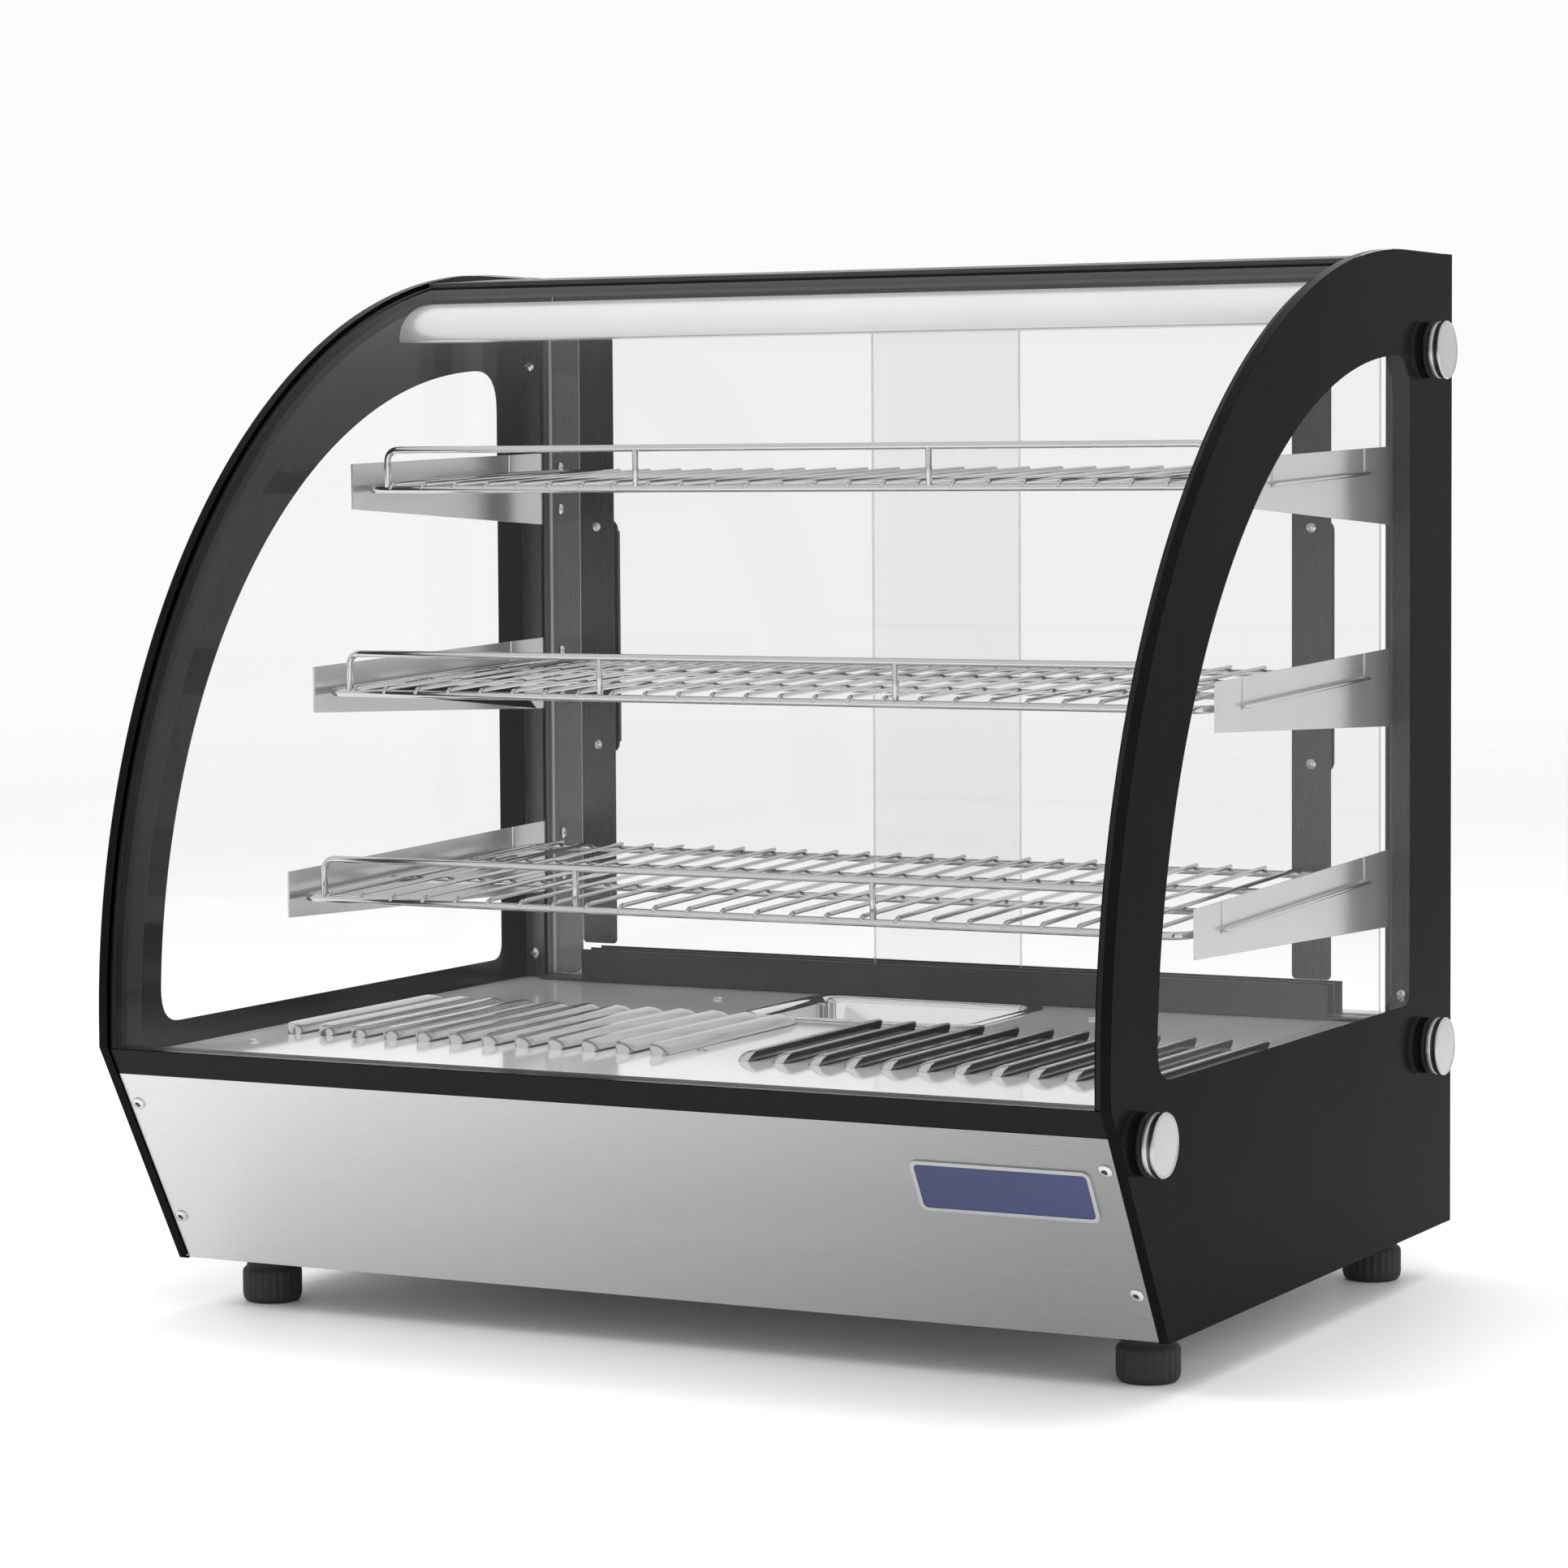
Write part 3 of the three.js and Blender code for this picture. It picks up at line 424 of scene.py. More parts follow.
def tube(path, radius, sides=10, closed=False):
    """A round wire along a path, its ends slightly rounded."""
    path = [Vector(p) for p in path]
    count = len(path)
    tangents = []
    for i in range(count):
        ahead = path[(i + 1) % count] if closed or i < count - 1 else path[i]
        behind = path[i - 1] if closed or i > 0 else path[i]
        tangents.append((ahead - behind).normalized())
    side = tangents[0].orthogonal().normalized()
    rings = []
    for place, tangent in zip(path, tangents):
        side = (side - tangent * side.dot(tangent)).normalized()
        rings.append((place, side.copy(), tangent.cross(side), radius))
    if not closed:
        inset, narrow = radius * 0.35, radius * 0.65
        first, last = rings[0], rings[-1]
        rings[0] = (first[0] + tangents[0] * inset, *first[1:])
        rings[-1] = (last[0] - tangents[-1] * inset, *last[1:])
        rings = [(*first[:3], narrow), *rings, (*last[:3], narrow)]
    points = []
    for place, u, v, r in rings:
        for k in range(sides):
            angle = 2 * math.pi * k / sides
            points.append(place + u * (r * math.cos(angle)) + v * (r * math.sin(angle)))
    rows = numbered(len(rings), sides)
    if closed:
        return points, skin(rows + rows[:1])
    return points, skin(rows) + [rows[0], rows[-1]]


def lathe(profile, sides, rib_depth=0, rib_rows=()):
    """A turned shape about Z from (radius, height) pairs that start and end on the axis.

    On the rows with ribs, two points of every four are pressed in.
    """
    points, rows = [], []
    for row, (radius, height) in enumerate(profile):
        if radius == 0:
            rows.append([len(points)])
            points.append((0, 0, height))
            continue
        rows.append(range(len(points), len(points) + sides))
        for k in range(sides):
            angle = 2 * math.pi * k / sides
            reach = radius - (rib_depth if row in rib_rows and k % 4 < 2 else 0)
            points.append((reach * math.cos(angle), reach * math.sin(angle), height))
    return points, skin(rows)


def screw(radius, recess="cross"):
    """A domed head with a cross or a round recess, and a foot that is sunk in the sheet."""
    sides, foot = 40, -0.4
    height, depth = radius * 0.5, radius * 0.3
    points, rows = [(0, 0, height - depth)], [[0]]
    for share in (0.1, 0.17, 0.24, 0.36, 0.48, 0.56, 0.64, 0.78, 0.9, 1.0):
        rows.append(range(len(points), len(points) + sides))
        for k in range(sides):
            angle = 2 * math.pi * k / sides
            x, y = share * math.cos(angle), share * math.sin(angle)
            z = height * math.sqrt(1 - (share * 0.93) ** 2)
            if recess == "round":
                sunk = share < 0.4
            else:
                sunk = min(abs(x), abs(y)) < 0.14 and max(abs(x), abs(y)) < 0.6
            points.append((x * radius, y * radius, z - (depth if sunk else 0)))
    rows.append(range(len(points), len(points) + sides))
    points += [(x, y, foot) for x, y, _ in points[-sides:]]
    rows.append([len(points)])
    points.append((0, 0, foot))
    return points, skin(rows)


def thickened(line, sheet):
    """A line of points given a thickness on its left, as bent sheet."""
    inner = []
    for i, point in enumerate(line):
        run = (Vector(line[min(i + 1, len(line) - 1)]) - Vector(line[max(i - 1, 0)])).normalized()
        inner.append((point[0] - run.y * sheet, point[1] + run.x * sheet))
    return line + inner[::-1]


# Pieces

def finish_mesh(made, bevel, angle):
    """Outward normals, and edges over an angle in degrees either softened or kept sharp."""
    mesh = made.data
    work = bmesh.new()
    work.from_mesh(mesh)
    bmesh.ops.recalc_face_normals(work, faces=work.faces)
    work.to_mesh(mesh)
    work.free()
    mesh.shade_smooth()
    if bevel:
        modifier = made.modifiers.new("edge", "BEVEL")
        modifier.width = bevel * MM
        modifier.segments = 2
        modifier.limit_method = "ANGLE"
        modifier.angle_limit = math.radians(angle)
        modifier.use_clamp_overlap = True
        made.modifiers.new("weighted", "WEIGHTED_NORMAL")
    else:
        mesh.set_sharp_from_angle(angle=math.radians(angle))


def placed(name, mesh, body, replaced, bevel, angle):
    made = bpy.data.objects.new(name, mesh)
    bpy.context.scene.collection.objects.link(made)
    finish_mesh(made, bevel, angle)
    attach(made, body)
    if replaced:
        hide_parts(*replaced)
    return made


def piece(name, parts, body, replaced=(), bevel=0, angle=40):
    """One object from (shape, material) pairs, riding on a body."""
    points, faces, used, index = [], [], [], []
    for (shape_points, shape_faces), shade in parts:
        start = len(points)
        points += [Vector(p) * MM for p in shape_points]
        faces += [tuple(i + start for i in f) for f in shape_faces]
        if shade not in used:
            used.append(shade)
        index += [used.index(shade)] * len(shape_faces)
    mesh = bpy.data.meshes.new(name)
    mesh.from_pydata(points, [], faces)
    for shade in used:
        mesh.materials.append(shade.material)
    mesh.polygons.foreach_set("material_index", index)
    mesh.update()
    return placed(name, mesh, body, replaced, bevel, angle)


def refined(node, shade, bevel):
    """A copy of a CAD node with its flat facets merged and its edges softened."""
    mesh = frame["nodes"][node].data.copy()
    work = bmesh.new()
    work.from_mesh(mesh)
    bmesh.ops.remove_doubles(work, verts=work.verts, dist=2e-6)
    bmesh.ops.dissolve_limit(work, angle_limit=math.radians(0.6), verts=work.verts, edges=work.edges)
    work.to_mesh(mesh)
    work.free()
    mesh.materials.clear()
    mesh.materials.append(shade.material)
    for face in mesh.polygons:
        face.material_index = 0
    return placed(node + "_finish", mesh, body_of(node), [node], bevel, 30)


def paint_edges(made, shade, chosen):
    """A second material on the faces that a test chooses."""
    made.data.materials.append(shade.material)
    for face in made.data.polygons:
        face.material_index = int(chosen(face))


def repaint(node, shade):
    """Keeps a CAD node's shape and gives it a finished material."""
    mesh = frame["nodes"][node].data
    mesh.materials.clear()
    mesh.materials.append(shade.material)


# Side glasses with their printed border

def glass_outline(inset=0.0):
    front = arc((ARC_Y, ARC_Z), ARC_RADIUS - inset, 90, 180, 72)
    rear, top, low = GLASS_HIGH.y - inset, GLASS_HIGH.z - inset, GLASS_LOW.z + inset
    return [(rear, low), (rear, top), *front, (GLASS_LOW.y + inset, KINK_Z),
            (GLASS_LOW.y + CHIN_DEPTH + inset * 0.6, low)]


def window_outline():
    """The clear part inside the border: its own curve, and three rounded corners."""
    center, radius = (193, 191), 410
    low, rear = 184.5, 204
    front, top = center[0] - radius, center[1] + radius
    foot_run, foot_rise, top_corner, rear_corner = 20, 22, 27, 12
    start = math.degrees(math.asin((low + foot_rise - center[1]) / radius))
    stop = math.degrees(math.acos((rear - top_corner - center[0]) / radius))
    curve = arc(center, radius, 180 - start, stop, 60)
    return (bend((front + foot_run, low), (front, low), curve[0])[:-1] + curve
            + bend(curve[-1], (rear, top), (rear, top - top_corner))[1:]
            + bend((rear, low + rear_corner), (rear, low), (rear - rear_corner, low)))


def side_glass(name, side):
    sheet = prism(glass_outline(), GLASS_LOW.x, GLASS_HIGH.x, "X")
    made = piece(name + "_finish", [(on_side(sheet, side), GLASS)], "case", [name], angle=25)
    paint_edges(made, EDGE, lambda face: abs(face.normal.x) < 0.5)
    ring = prism(glass_outline(0.35), GLASS_HIGH.x + 0.02, GLASS_HIGH.x + 0.14, "X", [window_outline()])
    piece(name + "_border", [(on_side(ring, side), PRINT)], "case", angle=25)


for glass_name, glass_side in both("side_glass"):
    side_glass(glass_name, glass_side)


# Curved front glass, its gaskets and the sill

def front_band(outer, inner, end_y, foot_z):
    """The band between two radii of the front curve, from its upper end to a straight foot."""
    outer_end = math.degrees(math.acos((end_y - ARC_Y) / outer))
    inner_end = math.degrees(math.acos((end_y - ARC_Y) / inner))
    foot = [(ARC_Y - outer, foot_z), (ARC_Y - inner, foot_z)]
    return (arc((ARC_Y, ARC_Z), outer, outer_end, 180, 72) + foot
            + arc((ARC_Y, ARC_Z), inner, 180, inner_end, 72))


def front_glass_edge(face):
    ends = abs(face.normal.x) > 0.5
    foot = face.normal.z < -0.9 and face.center.z < 0.3
    top = face.normal.y > 0.9 and face.center.z > 0.6
    return ends or foot or top


def front_glass():
    low, high = box("front_curved_glass")
    outer = ARC_Y - low.y
    band = prism(front_band(outer, outer - FRONT_GLASS, high.y, low.z), low.x, high.x, "X")
    made = piece("front_curved_glass_finish", [(band, GLASS)], "case", ["front_curved_glass"])
    paint_edges(made, EDGE, front_glass_edge)


def gaskets():
    low, high = box("right_glass_gasket")
    band = prism(front_band(ARC_Y - low.y, ARC_RADIUS - GASKET_DEPTH, high.y, low.z), low.x, high.x, "X")
    for name, side in both("glass_gasket"):
        piece(name + "_finish", [(on_side(band, side), GASKET)], "case", [name], 0.6, 50)


front_glass()
gaskets()
refined("glass_sill", SILL, 0.7)


# Body panels

def chin_point(x, z, out=0.0):
    """A point on the sloping front panel or standing out from it, and the panel's two directions."""
    slope = Vector((0, CHIN_DEPTH, -CHIN_HEIGHT)).normalized()
    normal = Vector((0, -CHIN_HEIGHT, -CHIN_DEPTH)).normalized()
    y = GLASS_LOW.y + CHIN_DEPTH * (KINK_Z - z) / CHIN_HEIGHT + PANEL_INSET
    return Vector((x, y, z)) + normal * out, normal, slope


def blank_plate():
    place, normal, slope = chin_point(260, 123, -0.4)
    turn = Matrix((Vector((1, 0, 0)), -slope, normal)).transposed().to_4x4()
    matrix = Matrix.Translation(place) @ turn

    def outline(inset, radius):
        return rounded(inset - 56, inset - 18, 56 - inset, 18 - inset, radius)

    rim = moved(prism(outline(0, 5), 0, 1.5, "Z", [outline(2.5, 3)]), matrix)
    face = moved(prism(outline(2.4, 3), 0, 1.1, "Z"), matrix)
    piece("badge_plate_blank", [(rim, CAP), (face, PLATE)], "case", ["badge_plate"], 0.25)


def canopy():
    low, high = box("lamp_canopy")
    deep, tall, steps = 45, 25, 40
    nose = []
    for i in range(steps + 1):
        angle = math.pi / 2 * i / steps
        nose.append((low.y + deep - math.sin(angle) * deep, high.z - tall + math.cos(angle) * tall))
    lip = bend((low.y, low.z + 1.6), (low.y + 0.2, low.z), (low.y + 2.4, low.z), 5)
    line = [(high.y, high.z)] + nose + lip + [(low.y + 31, low.z)]
    band = prism(thickened(line, 1.2), low.x, high.x, "X")
    piece("lamp_canopy_finish", [(band, CANOPY)], "case", ["lamp_canopy"])


# The front panel's brushed steel carries a painted light fade from left to right
refined("front_panel", FRONT_STEEL_PAINTED_LIGHT, 0.45)
refined("base_tray", STEEL_REAR, 0.4)
refined("rear_control_panel", STEEL_REAR, 0.25)
refined("top_cover", TRIM, 0.6)
blank_plate()
canopy()
refined("lamp_housing", CAP, 0.3)
refined("lamp_lens", LENS, 0.5)


# Rear posts, tracks and doors

def rear_posts():
    low, high = box("right_rear_post")
    # A dark sheet over the brackets' rear ends, as painted reflection
    reflection_sheet = block(PAINTED_REFLECTION_SHEET_IN, PAINTED_REFLECTION_SHEET_IN + 1.1, low.y, high.y - 0.3, low.z, high.z - 2)
    for name, side in both("rear_post"):
        refined(name, DARK_SHEET_PAINTED_LIGHT, 0.5)
        piece(name + "_painted_reflection_sheet", [(on_side(reflection_sheet, side), DARK_SHEET_PAINTED_LIGHT)], "case", (), 0.3)


def door(body, side):
    made = refined(body + "_glass", DOOR_GLASS, 0.35)
    paint_edges(made, DOOR_EDGE, lambda face: abs(face.normal.y) < 0.5)

    low, high = box(body + "_strip")
    strip = prism(rounded(low.x, low.z, high.x, high.z, 3), low.y, high.y, "Y")
    # The strip's dark sheet carries the painted reflection fade, greyer lower down
    piece(body + "_strip_finish", [(strip, DARK_SHEET_PAINTED_LIGHT)], body,
          [body + "_strip"], 0.25)
    middle = (low.x + high.x) / 2
    heads = [(moved(screw(3.4), facing((0, -1, 0), (middle, low.y, z))), SCREW) for z in (491, 337)]

    low, high = box(body + "_handle")
    plate = prism(rounded(low.x, low.z, high.x, high.z, 7), low.y, low.y + 1.5, "Y")
    edge, inward = (high.x, 1) if side < 0 else (low.x, -1)
    near, far = edge - inward * 1.5, edge - inward * 4
    pull = prism([(edge, low.y), (near, low.y), (near, low.y + 1.4), (far, low.y + 2.2), (far, high.y),
                  (edge, high.y - 0.6)], low.z + 8, high.z - 8, "Z")
    piece(body + "_handle_finish", [(plate, BLACK_SHEET), (pull, BLACK_SHEET)], body,
          [body + "_handle"], 0.3)
    piece(body + "_screws", heads, body)


rear_posts()
refined("upper_door_track", TRACK, 0.3)
refined("lower_door_track", TRACK, 0.3)
for door_name, door_side in both("door"):
    door(door_name, door_side)


# Shelves: chromed wire, drawn level and then tilted as the brackets hold them

def shelf(level, name, front):
    """Y counts from the ledge, and front is where the shelf's front wire lies."""
    back, half = 28.0, 309
    mid, frame_r, grid_r = 2.5, 2.5, 1.5
    grid_z = mid + frame_r + grid_r - 0.4
    corners = [(0, back, mid), (half, back, mid), (half, front, mid), (-half, front, mid), (-half, back, mid)]
    wires = [tube(softened(corners + [(0, back, mid)], 15, 6)[:-1], frame_r, 12, closed=True)]

    # Front rail with its two uprights, then two cross wires under the grid
    rail_x, rail_z = 291, mid + 26
    rail = [(-rail_x, front, mid + 1), (-rail_x, front, rail_z), (rail_x, front, rail_z),
            (rail_x, front, mid + 1)]
    wires.append(tube(softened(rail, 9, 7), 2.3, 12))
    for x in (-104, 104):
        wires.append(tube([(x, front, mid), (x, front, rail_z)], 2.1))
    for share in (0.36, 0.7):
        y = front + (back - front) * share
        wires.append(tube([(-half, y, mid), (half, y, mid)], 2.2))

    count, pitch = 25, 24
    for i in range(count):
        x = (i - (count - 1) / 2) * pitch
        path = [(x, front - 2.2, grid_z - 3.4), (x, front + 1.2, grid_z), (x, back + 2.4, grid_z)]
        wires.append(tube(softened(path, 2.2, 3), grid_r, 8))

    # Side rods outside the brackets, let in through their slits
    rear_slit, front_slit, rod_x = 6.1, front + 36.1, 321
    for side in (-1, 1):
        rod = [(side * (half - 1), rear_slit, mid), (side * rod_x, rear_slit, mid),
               (side * rod_x, front_slit, mid), (side * (half - 1), front_slit, mid)]
        wires.append(tube(softened(rod, 3, 4), 1.25))

    rest = Matrix.Translation((0, LEDGE_Y, LEDGE_Z + level * SHELF_PITCH))
    tilt = rest @ Matrix.Rotation(SHELF_TILT, 4, "X")
    piece(name + "_wire", [(moved(w, tilt), WIRE) for w in wires], name, [name], angle=60)


def bracket(level, name, side):
    refined(name, BRACKET, 0.35)
    ledge = LEDGE_Z + level * SHELF_PITCH
    heads = [(moved(screw(3.6), facing((-side, 0, 0), (side * PAINTED_REFLECTION_SHEET_IN, 249, ledge + rise))), SCREW)
             for rise in (9.5, -20)]
    piece(name + "_screws", heads, "case")


for shelf_level, (shelf_name, shelf_front) in enumerate(
        [("lower_shelf", -274.0), ("middle_shelf", -241.0), ("upper_shelf", -192.0)]):
    shelf(shelf_level, shelf_name, shelf_front)
    for bracket_name, bracket_side in both(shelf_name + "_bracket"):
        bracket(shelf_level, bracket_name, bracket_side)


# Deck with its louvres, and the water pan

LOUVRES = 12  # on each side
LOUVRE_PITCH = 24.2
LOUVRE_START = 31  # X of the louvre nearest the middle
LOUVRE_FRONT, LOUVRE_BACK = -131, 54


def hood(x, side):
    """A pressed hood: round-backed, round-ended, and open on the side away from the middle.

    It gives the points, the outer skin with its border, and the inner skin.
    """
    across, along = 12, 30
    length, width, rise, round_end, sheet = LOUVRE_BACK - LOUVRE_FRONT, 12.2, 7.2, 6.5, 0.9
    points = []
    for layer in (0, 1):
        for j in range(along + 1):
            t = (1 - math.cos(math.pi * j / along)) / 2
            reach = min(t, 1 - t) * length
            end = math.sqrt(1 - (1 - min(1, reach / round_end)) ** 2)
            for i in range(across + 1):
                angle = math.pi / 2 * i / across
                offset = 1 - math.cos(angle)
                px = x + side * (-6.3 + width * (0.5 + (offset - 0.5) * (0.35 + 0.65 * end)))
                pz = DECK_Z - 0.1 + rise * math.sin(angle) * end - layer * sheet
                points.append((px, LOUVRE_FRONT + length * t, pz))
    stride = across + 1
    size = stride * (along + 1)
    outer, inner = [], []
    for j in range(along):
        for i in range(across):
            a = j * stride + i
            quad = (a, a + 1, a + stride + 1, a + stride)
            outer.append(quad)
            inner.append(tuple(k + size for k in reversed(quad)))
    border = (list(range(across)) + [j * stride + across for j in range(along)]
              + [along * stride + i for i in range(across, 0, -1)]
              + [j * stride for j in range(along, 0, -1)])
    for a, b in zip(border, border[1:] + border[:1]):
        outer.append((a, b, b + size, a + size))
    return points, outer, inner


def deck():
    low, high = box("deck_plate")
    slots, shells, painted_shade_linings = [], [], []
    front, back = LOUVRE_FRONT + 6, LOUVRE_BACK - 6
    for side in (-1, 1):
        for i in range(LOUVRES):
            x = side * (LOUVRE_START + i * LOUVRE_PITCH)
            a, b = sorted((x - side * 3.2, x + side * 5.6))
            slots.append([(a, front), (b, front), (b, back), (a, back)])
            points, outer, inner = hood(x, side)
            shells.append(((points, outer), LOUVRE))
            # The inner skins are near-black: painted shade inside the louvres
            painted_shade_linings.append(((points, inner), DARK_PRINT_AND_PAINTED_SHADE))
    outline = [(low.x, low.y), (high.x, low.y), (high.x, high.y), (low.x, high.y)]
    pan_hole = rounded(-80.5, 80, 80.5, 204, 16)
    plate = prism(outline, low.z, DECK_Z, "Z", [pan_hole] + slots)
    piece("deck_plate_finish", [(plate, DECK)], "case", ["deck_plate"], angle=30)
    piece("deck_louvres", shells + painted_shade_linings, "case", angle=60)


def pan():
    low, high = box("water_pan")
    rim, floor = high.z, low.z
    # Inset and height of each ring, from the inside of the floor over the rim and down the outside
    rings = [(28, rim - 57.2), (20, rim - 57), (14, rim - 54), (11.5, rim - 48), (9.4, rim - 5),
             (8.6, rim - 1.8), (7.2, rim - 0.5), (5, rim), (1.4, rim), (0.3, rim - 0.5), (0, rim - 1.2),
             (6.2, rim - 1.2), (7.4, rim - 4), (10, rim - 49), (13, rim - 56), (20, floor + 0.05), (28, floor)]
    points = []
    for inset, z in rings:
        corner = max(3, 20 - inset * 0.75)
        ring = rounded(low.x + inset, low.y + inset, high.x - inset, high.y - inset, corner, 10)
        points += [(x, y, z) for x, y in ring]
    rows = numbered(len(rings), len(ring))
    faces = skin(rows) + [rows[0], rows[-1]]
    piece("water_pan_finish", [((points, faces), MIRROR)], "water_pan", ["water_pan"],
          angle=50)


deck()
pan()


# Caps, feet and screws, turned from pairs of radius and height

CAP_PROFILE = [(0, 12), (15.8, 12), (16.9, 11.9), (17.3, 12.3), (18.1, 12.2), (18.8, 11.3), (18.9, 9.6),
               (18.5, 8.6), (17.2, 8.3), (17.2, 7.8), (18.2, 7.5), (18.6, 6.6), (18.5, 4.4), (17.9, 3.6),
               (0, 3.6)]
WASHER_PROFILE = [(0, 3.55), (17.2, 3.55), (17.9, 3.2), (18.1, 2), (17.8, 0.8), (17.2, 0.2), (0, 0.2)]
FOOT_PROFILE = [(0, 0), (15.2, 0), (16.8, 0.5), (18.2, 2.2), (18.9, 4.8), (19, 7), (19, 19), (18.6, 20.6),
                (17.2, 22), (16.2, 23.2), (16, 26.5), (15, 29), (12.5, 31.4), (9, 32.3), (4, 32.4),
                (4, 34.4), (0, 34.4)]
KNOB_PROFILE = [(0, 0), (18.6, 0), (19, 0.4), (19, 3), (18.4, 3.8), (15.6, 4.4), (15, 5), (14.4, 14.6),
                (13.6, 15.4), (0, 15.4)]


def middle_of(node):
    low, high = box(node)
    return (low + high) / 2


def glass_cap(node, side):
    center = middle_of(node)
    matrix = facing((side, 0, 0), (side * GLASS_HIGH.x, center.y, center.z))
    parts = [(moved(lathe(CAP_PROFILE, 72), matrix), CAP),
             (moved(lathe(WASHER_PROFILE, 72), matrix), RUBBER)]
    piece(node + "_finish", parts, "case", [node], angle=32)


def foot(node):
    center = middle_of(node)
    turned = moved(lathe(FOOT_PROFILE, 96, 0.7, (4, 5, 6, 7)), Matrix.Translation((center.x, center.y, 0)))
    piece(node + "_finish", [(turned, RUBBER)], "case", [node], angle=50)


for cap_place in ("upper", "lower", "front"):
    for cap_name, cap_side in both(cap_place + "_glass_cap"):
        glass_cap(cap_name, cap_side)
for foot_name in ("front_left_foot", "front_right_foot", "rear_left_foot", "rear_right_foot"):
    foot(foot_name)


def screws(name, heads, recess="cross"):
    """Heads given as (place, outward direction, radius)."""
    parts = [(moved(screw(radius, recess), facing(direction, place)), SCREW)
             for place, direction, radius in heads]
    if recess == "round":
        for place, direction, radius in heads:
            wide, top = radius * 0.33, radius * 0.26
            # A near-black disc in each rivet's hole is painted shade
            painted_shade_pit = lathe([(0, top), (wide, top), (wide, 0), (0, 0)], 32)
            parts.append((moved(painted_shade_pit, facing(direction, place)), DARK_PRINT_AND_PAINTED_SHADE))
    piece(name, parts, "case")


def panel_screws():
    heads = []
    for side in (-1, 1):
        for z in (140, 63):
            place, normal, _ = chin_point(side * 326, z)
            heads.append((place, normal, 4.2))
    screws("front_panel_screws", heads, "round")
    posts = box("right_rear_post")[0].y
    screws("post_screws", [((s * 325.5, posts, z), (0, -1, 0), 4.0) for s in (-1, 1) for z in (605, 187)])
    deck_places = [(17, -95), (17, -1), (-17, -95), (139, 155), (-139, 155), (-300, -170), (300, -170)]
    screws("deck_screws", [((x, y, DECK_Z), (0, 0, 1), 3.6) for x, y in deck_places])
    rear = box("rear_control_panel")[1].y
    rear_places = [(x, z) for x in (-318, -110, 110, 318) for z in (46, 160)]
    screws("rear_panel_screws", [((x, rear, z), (0, 1, 0), 3.8) for x, z in rear_places])
    cover = box("top_cover")[1].y
    screws("top_cover_screws", [((x, cover, 648), (0, 1, 0), 3.8) for x in (-310, -105, 105, 310)])
    tray = box("base_tray")[0].z
    tray_places = [(x, y) for x in (-250, 0, 250) for y in (-150, 240)]
    screws("underside_screws", [((x, y, tray), (0, 0, -1), 3.8) for x, y in tray_places])


panel_screws()


# Controls on the rear panel

def knob():
    low, high = box("thermostat_knob")
    center = (low + high) / 2
    matrix = facing((0, 1, 0), (center.x, low.y, center.z))
    turned = moved(lathe(KNOB_PROFILE, 96, 0.5, (1, 2, 3)), matrix)
    grip_outline = rounded(center.x - 3.4, center.z - 15.2, center.x + 3.4, center.z + 15.2, 2)
    grip = prism(grip_outline, low.y + 4, high.y, "Y")
    line = block(center.x - 0.7, center.x + 0.7, high.y - 0.3, high.y + 0.15, center.z + 4, center.z + 14)
    piece("thermostat_knob_finish", [(turned, PLASTIC), (grip, PLASTIC), (line, MARK)], "thermostat_knob",
          ["thermostat_knob"])


def knob_scale():
    """Eleven short lines round the knob, every fifth a little longer."""
    center = middle_of("thermostat_knob")
    origin = Vector((center.x, box("rear_control_panel")[1].y, center.z))
    ticks = []
    for i in range(11):
        angle = math.radians(225 - i * 27)
        start, end = 21.4, 24.5 if i % 5 == 0 else 23.4
        out = Vector((math.cos(angle), 0, math.sin(angle)))
        side = Vector((-out.z, 0, out.x)) * 0.45
        quad = [origin + out * start - side, origin + out * end - side,
                origin + out * end + side, origin + out * start + side]
        raised = [p + Vector((0, 0.12, 0)) for p in quad]
        ticks.append((quad + raised, skin(numbered(2, 4)) + [(0, 1, 2, 3), (7, 6, 5, 4)]))
    piece("thermostat_scale", [(t, DARK_PRINT_AND_PAINTED_SHADE) for t in ticks], "case", angle=30)


def screen():
    low, high = box("temperature_display")
    center = (low + high) / 2
    outline = rounded(center.x - 20, center.z - 9, center.x + 20, center.z + 9, 2)
    window = prism(outline, high.y - 0.2, high.y + 0.35, "Y")
    piece("temperature_screen", [(window, SCREEN)], "case", (), 0.15)


knob()
knob_scale()
refined("temperature_display", PLASTIC, 0.6)
screen()
refined("switch_frame", PLASTIC, 0.4)
refined("power_rocker", RED, 0.5)
refined("lamp_rocker", GREEN, 0.5)
refined("power_inlet", PLASTIC, 0.3)


# Pieces inside the base, seen only through its slots

for inner_node, inner_shade in (
        ("thermostat_body", PLASTIC), ("heating_element", HEATER), ("left_element_bracket", STEEL_REAR),
        ("right_element_bracket", STEEL_REAR), ("fan_housing", PLASTIC), ("fan_impeller", PLASTIC),
        ("terminal_block", WHITE)):
    repaint(inner_node, inner_shade)


# Stage, light and camera

def floor_material(half):
    """Pale floor that fades out into the background before its edge."""
    shade = Shade("studio_floor", (0.9, 0.9, 0.9), 0.55)
    shade.tint(shade.noise(3, 3, 0.5), 0.99, 1.01)
    ball = shade.node("ShaderNodeTexGradient", gradient_type="SPHERICAL")
    shade.link(shade.stretched((1 / half,) * 3), ball.inputs["Vector"])
    clear = shade.node("ShaderNodeBsdfTransparent")
    shade.blend(shade.span(ball.outputs["Fac"], 0, 1, 0.02, 0.6), clear, shade.bsdf)
    return shade


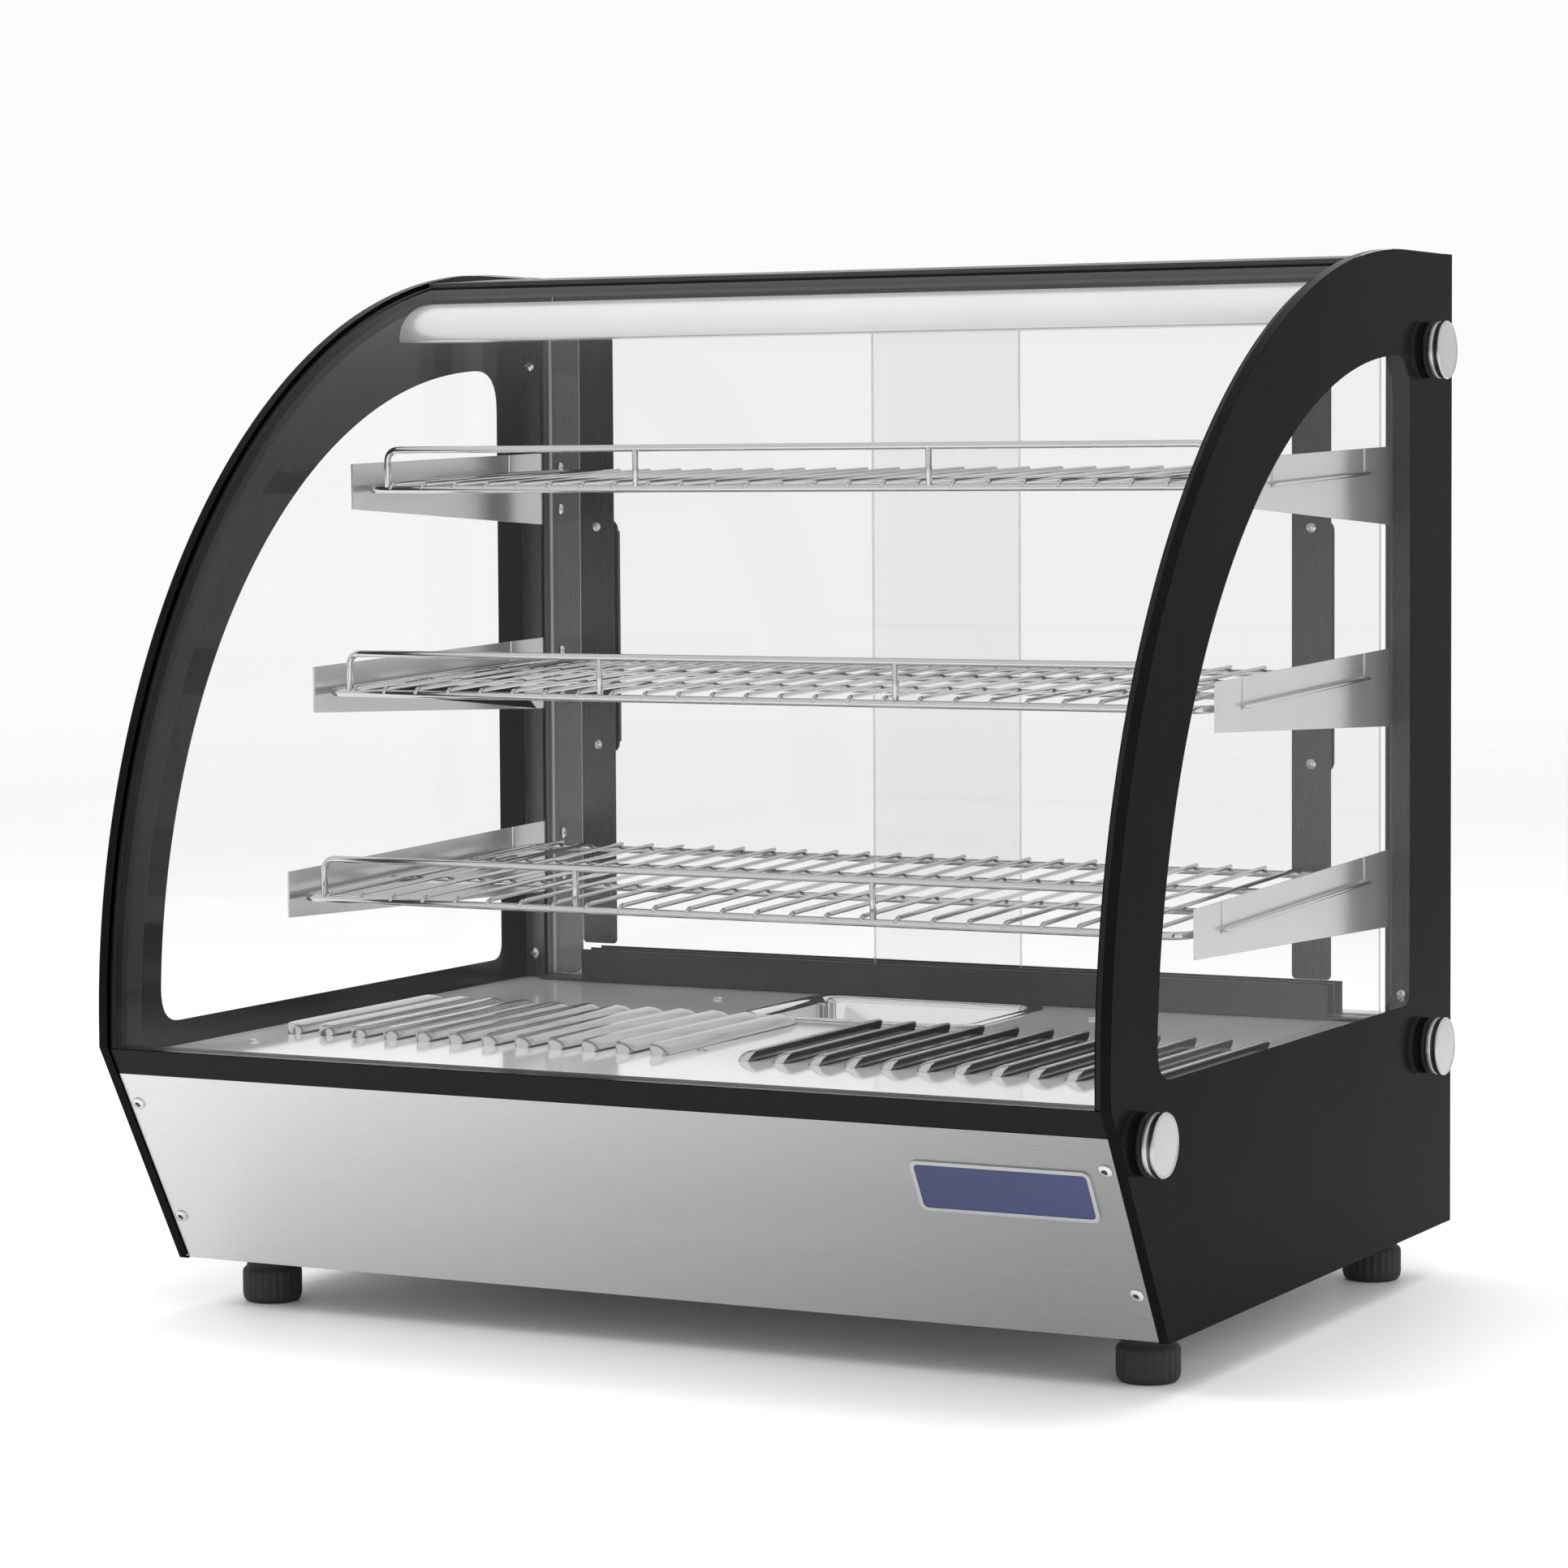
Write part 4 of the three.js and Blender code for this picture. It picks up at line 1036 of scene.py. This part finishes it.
def floor():
    half = 7.0
    corners = [(-half, -half, 0), (half, -half, 0), (half, half, 0), (-half, half, 0)]
    mesh = bpy.data.meshes.new("floor")
    mesh.from_pydata(corners, [], [(0, 1, 2, 3)])
    mesh.materials.append(floor_material(half).material)
    card = bpy.data.objects.new("floor", mesh)
    bpy.context.scene.collection.objects.link(card)


def area(name, place, target, size, power):
    """A soft light that neither the camera nor the mirrors see."""
    light = bpy.data.lights.new(name, "AREA")
    light.shape = "RECTANGLE"
    light.size, light.size_y = size
    light.energy = power
    made = bpy.data.objects.new(name, light)
    made.matrix_world = facing(Vector(place) - Vector(target), place)
    bpy.context.scene.collection.objects.link(made)
    made.visible_camera = False
    made.visible_glossy = False


def world():
    made = bpy.data.worlds.new("studio")
    bpy.context.scene.world = made
    made.use_nodes = True
    background = made.node_tree.nodes["Background"]
    background.inputs["Color"].default_value = (1, 1, 1, 1)
    background.inputs["Strength"].default_value = 0.97


def camera():
    place = Vector((1.34335, -2.6299, 0.53359))
    azimuth, elevation, roll = math.radians(27.70), math.radians(3.18), math.radians(-0.37)
    look = Vector((-math.sin(azimuth) * math.cos(elevation), math.cos(azimuth) * math.cos(elevation),
                   -math.sin(elevation)))
    right = Vector((math.cos(azimuth), math.sin(azimuth), 0))
    up = right.cross(look)
    right, up = (right * math.cos(roll) + up * math.sin(roll), up * math.cos(roll) - right * math.sin(roll))
    data = bpy.data.cameras.new("camera")
    data.sensor_fit = "HORIZONTAL"
    data.sensor_width = 36
    data.lens = 106.72
    data.shift_x, data.shift_y = 0.0265, -0.0385
    data.clip_start = 0.05
    made = bpy.data.objects.new("camera", data)
    columns = (right, up, -look, place)
    made.matrix_world = Matrix([[c[i] for c in columns] for i in range(3)] + [[0, 0, 0, 1]])
    bpy.context.scene.collection.objects.link(made)
    bpy.context.scene.camera = made


floor()
area("key_light", (-1.7, -2.0, 2.3), (0, 0, 0.3), (1.6, 1.2), 45)
area("top_light", (0.2, 0.3, 2.4), (0, 0, 0.4), (2.0, 1.4), 30)
area("fill_light", (2.4, -1.2, 1.2), (0, 0, 0.3), (1.0, 1.4), 12)
world()
camera()
bpy.context.scene.view_settings.view_transform = "Standard"
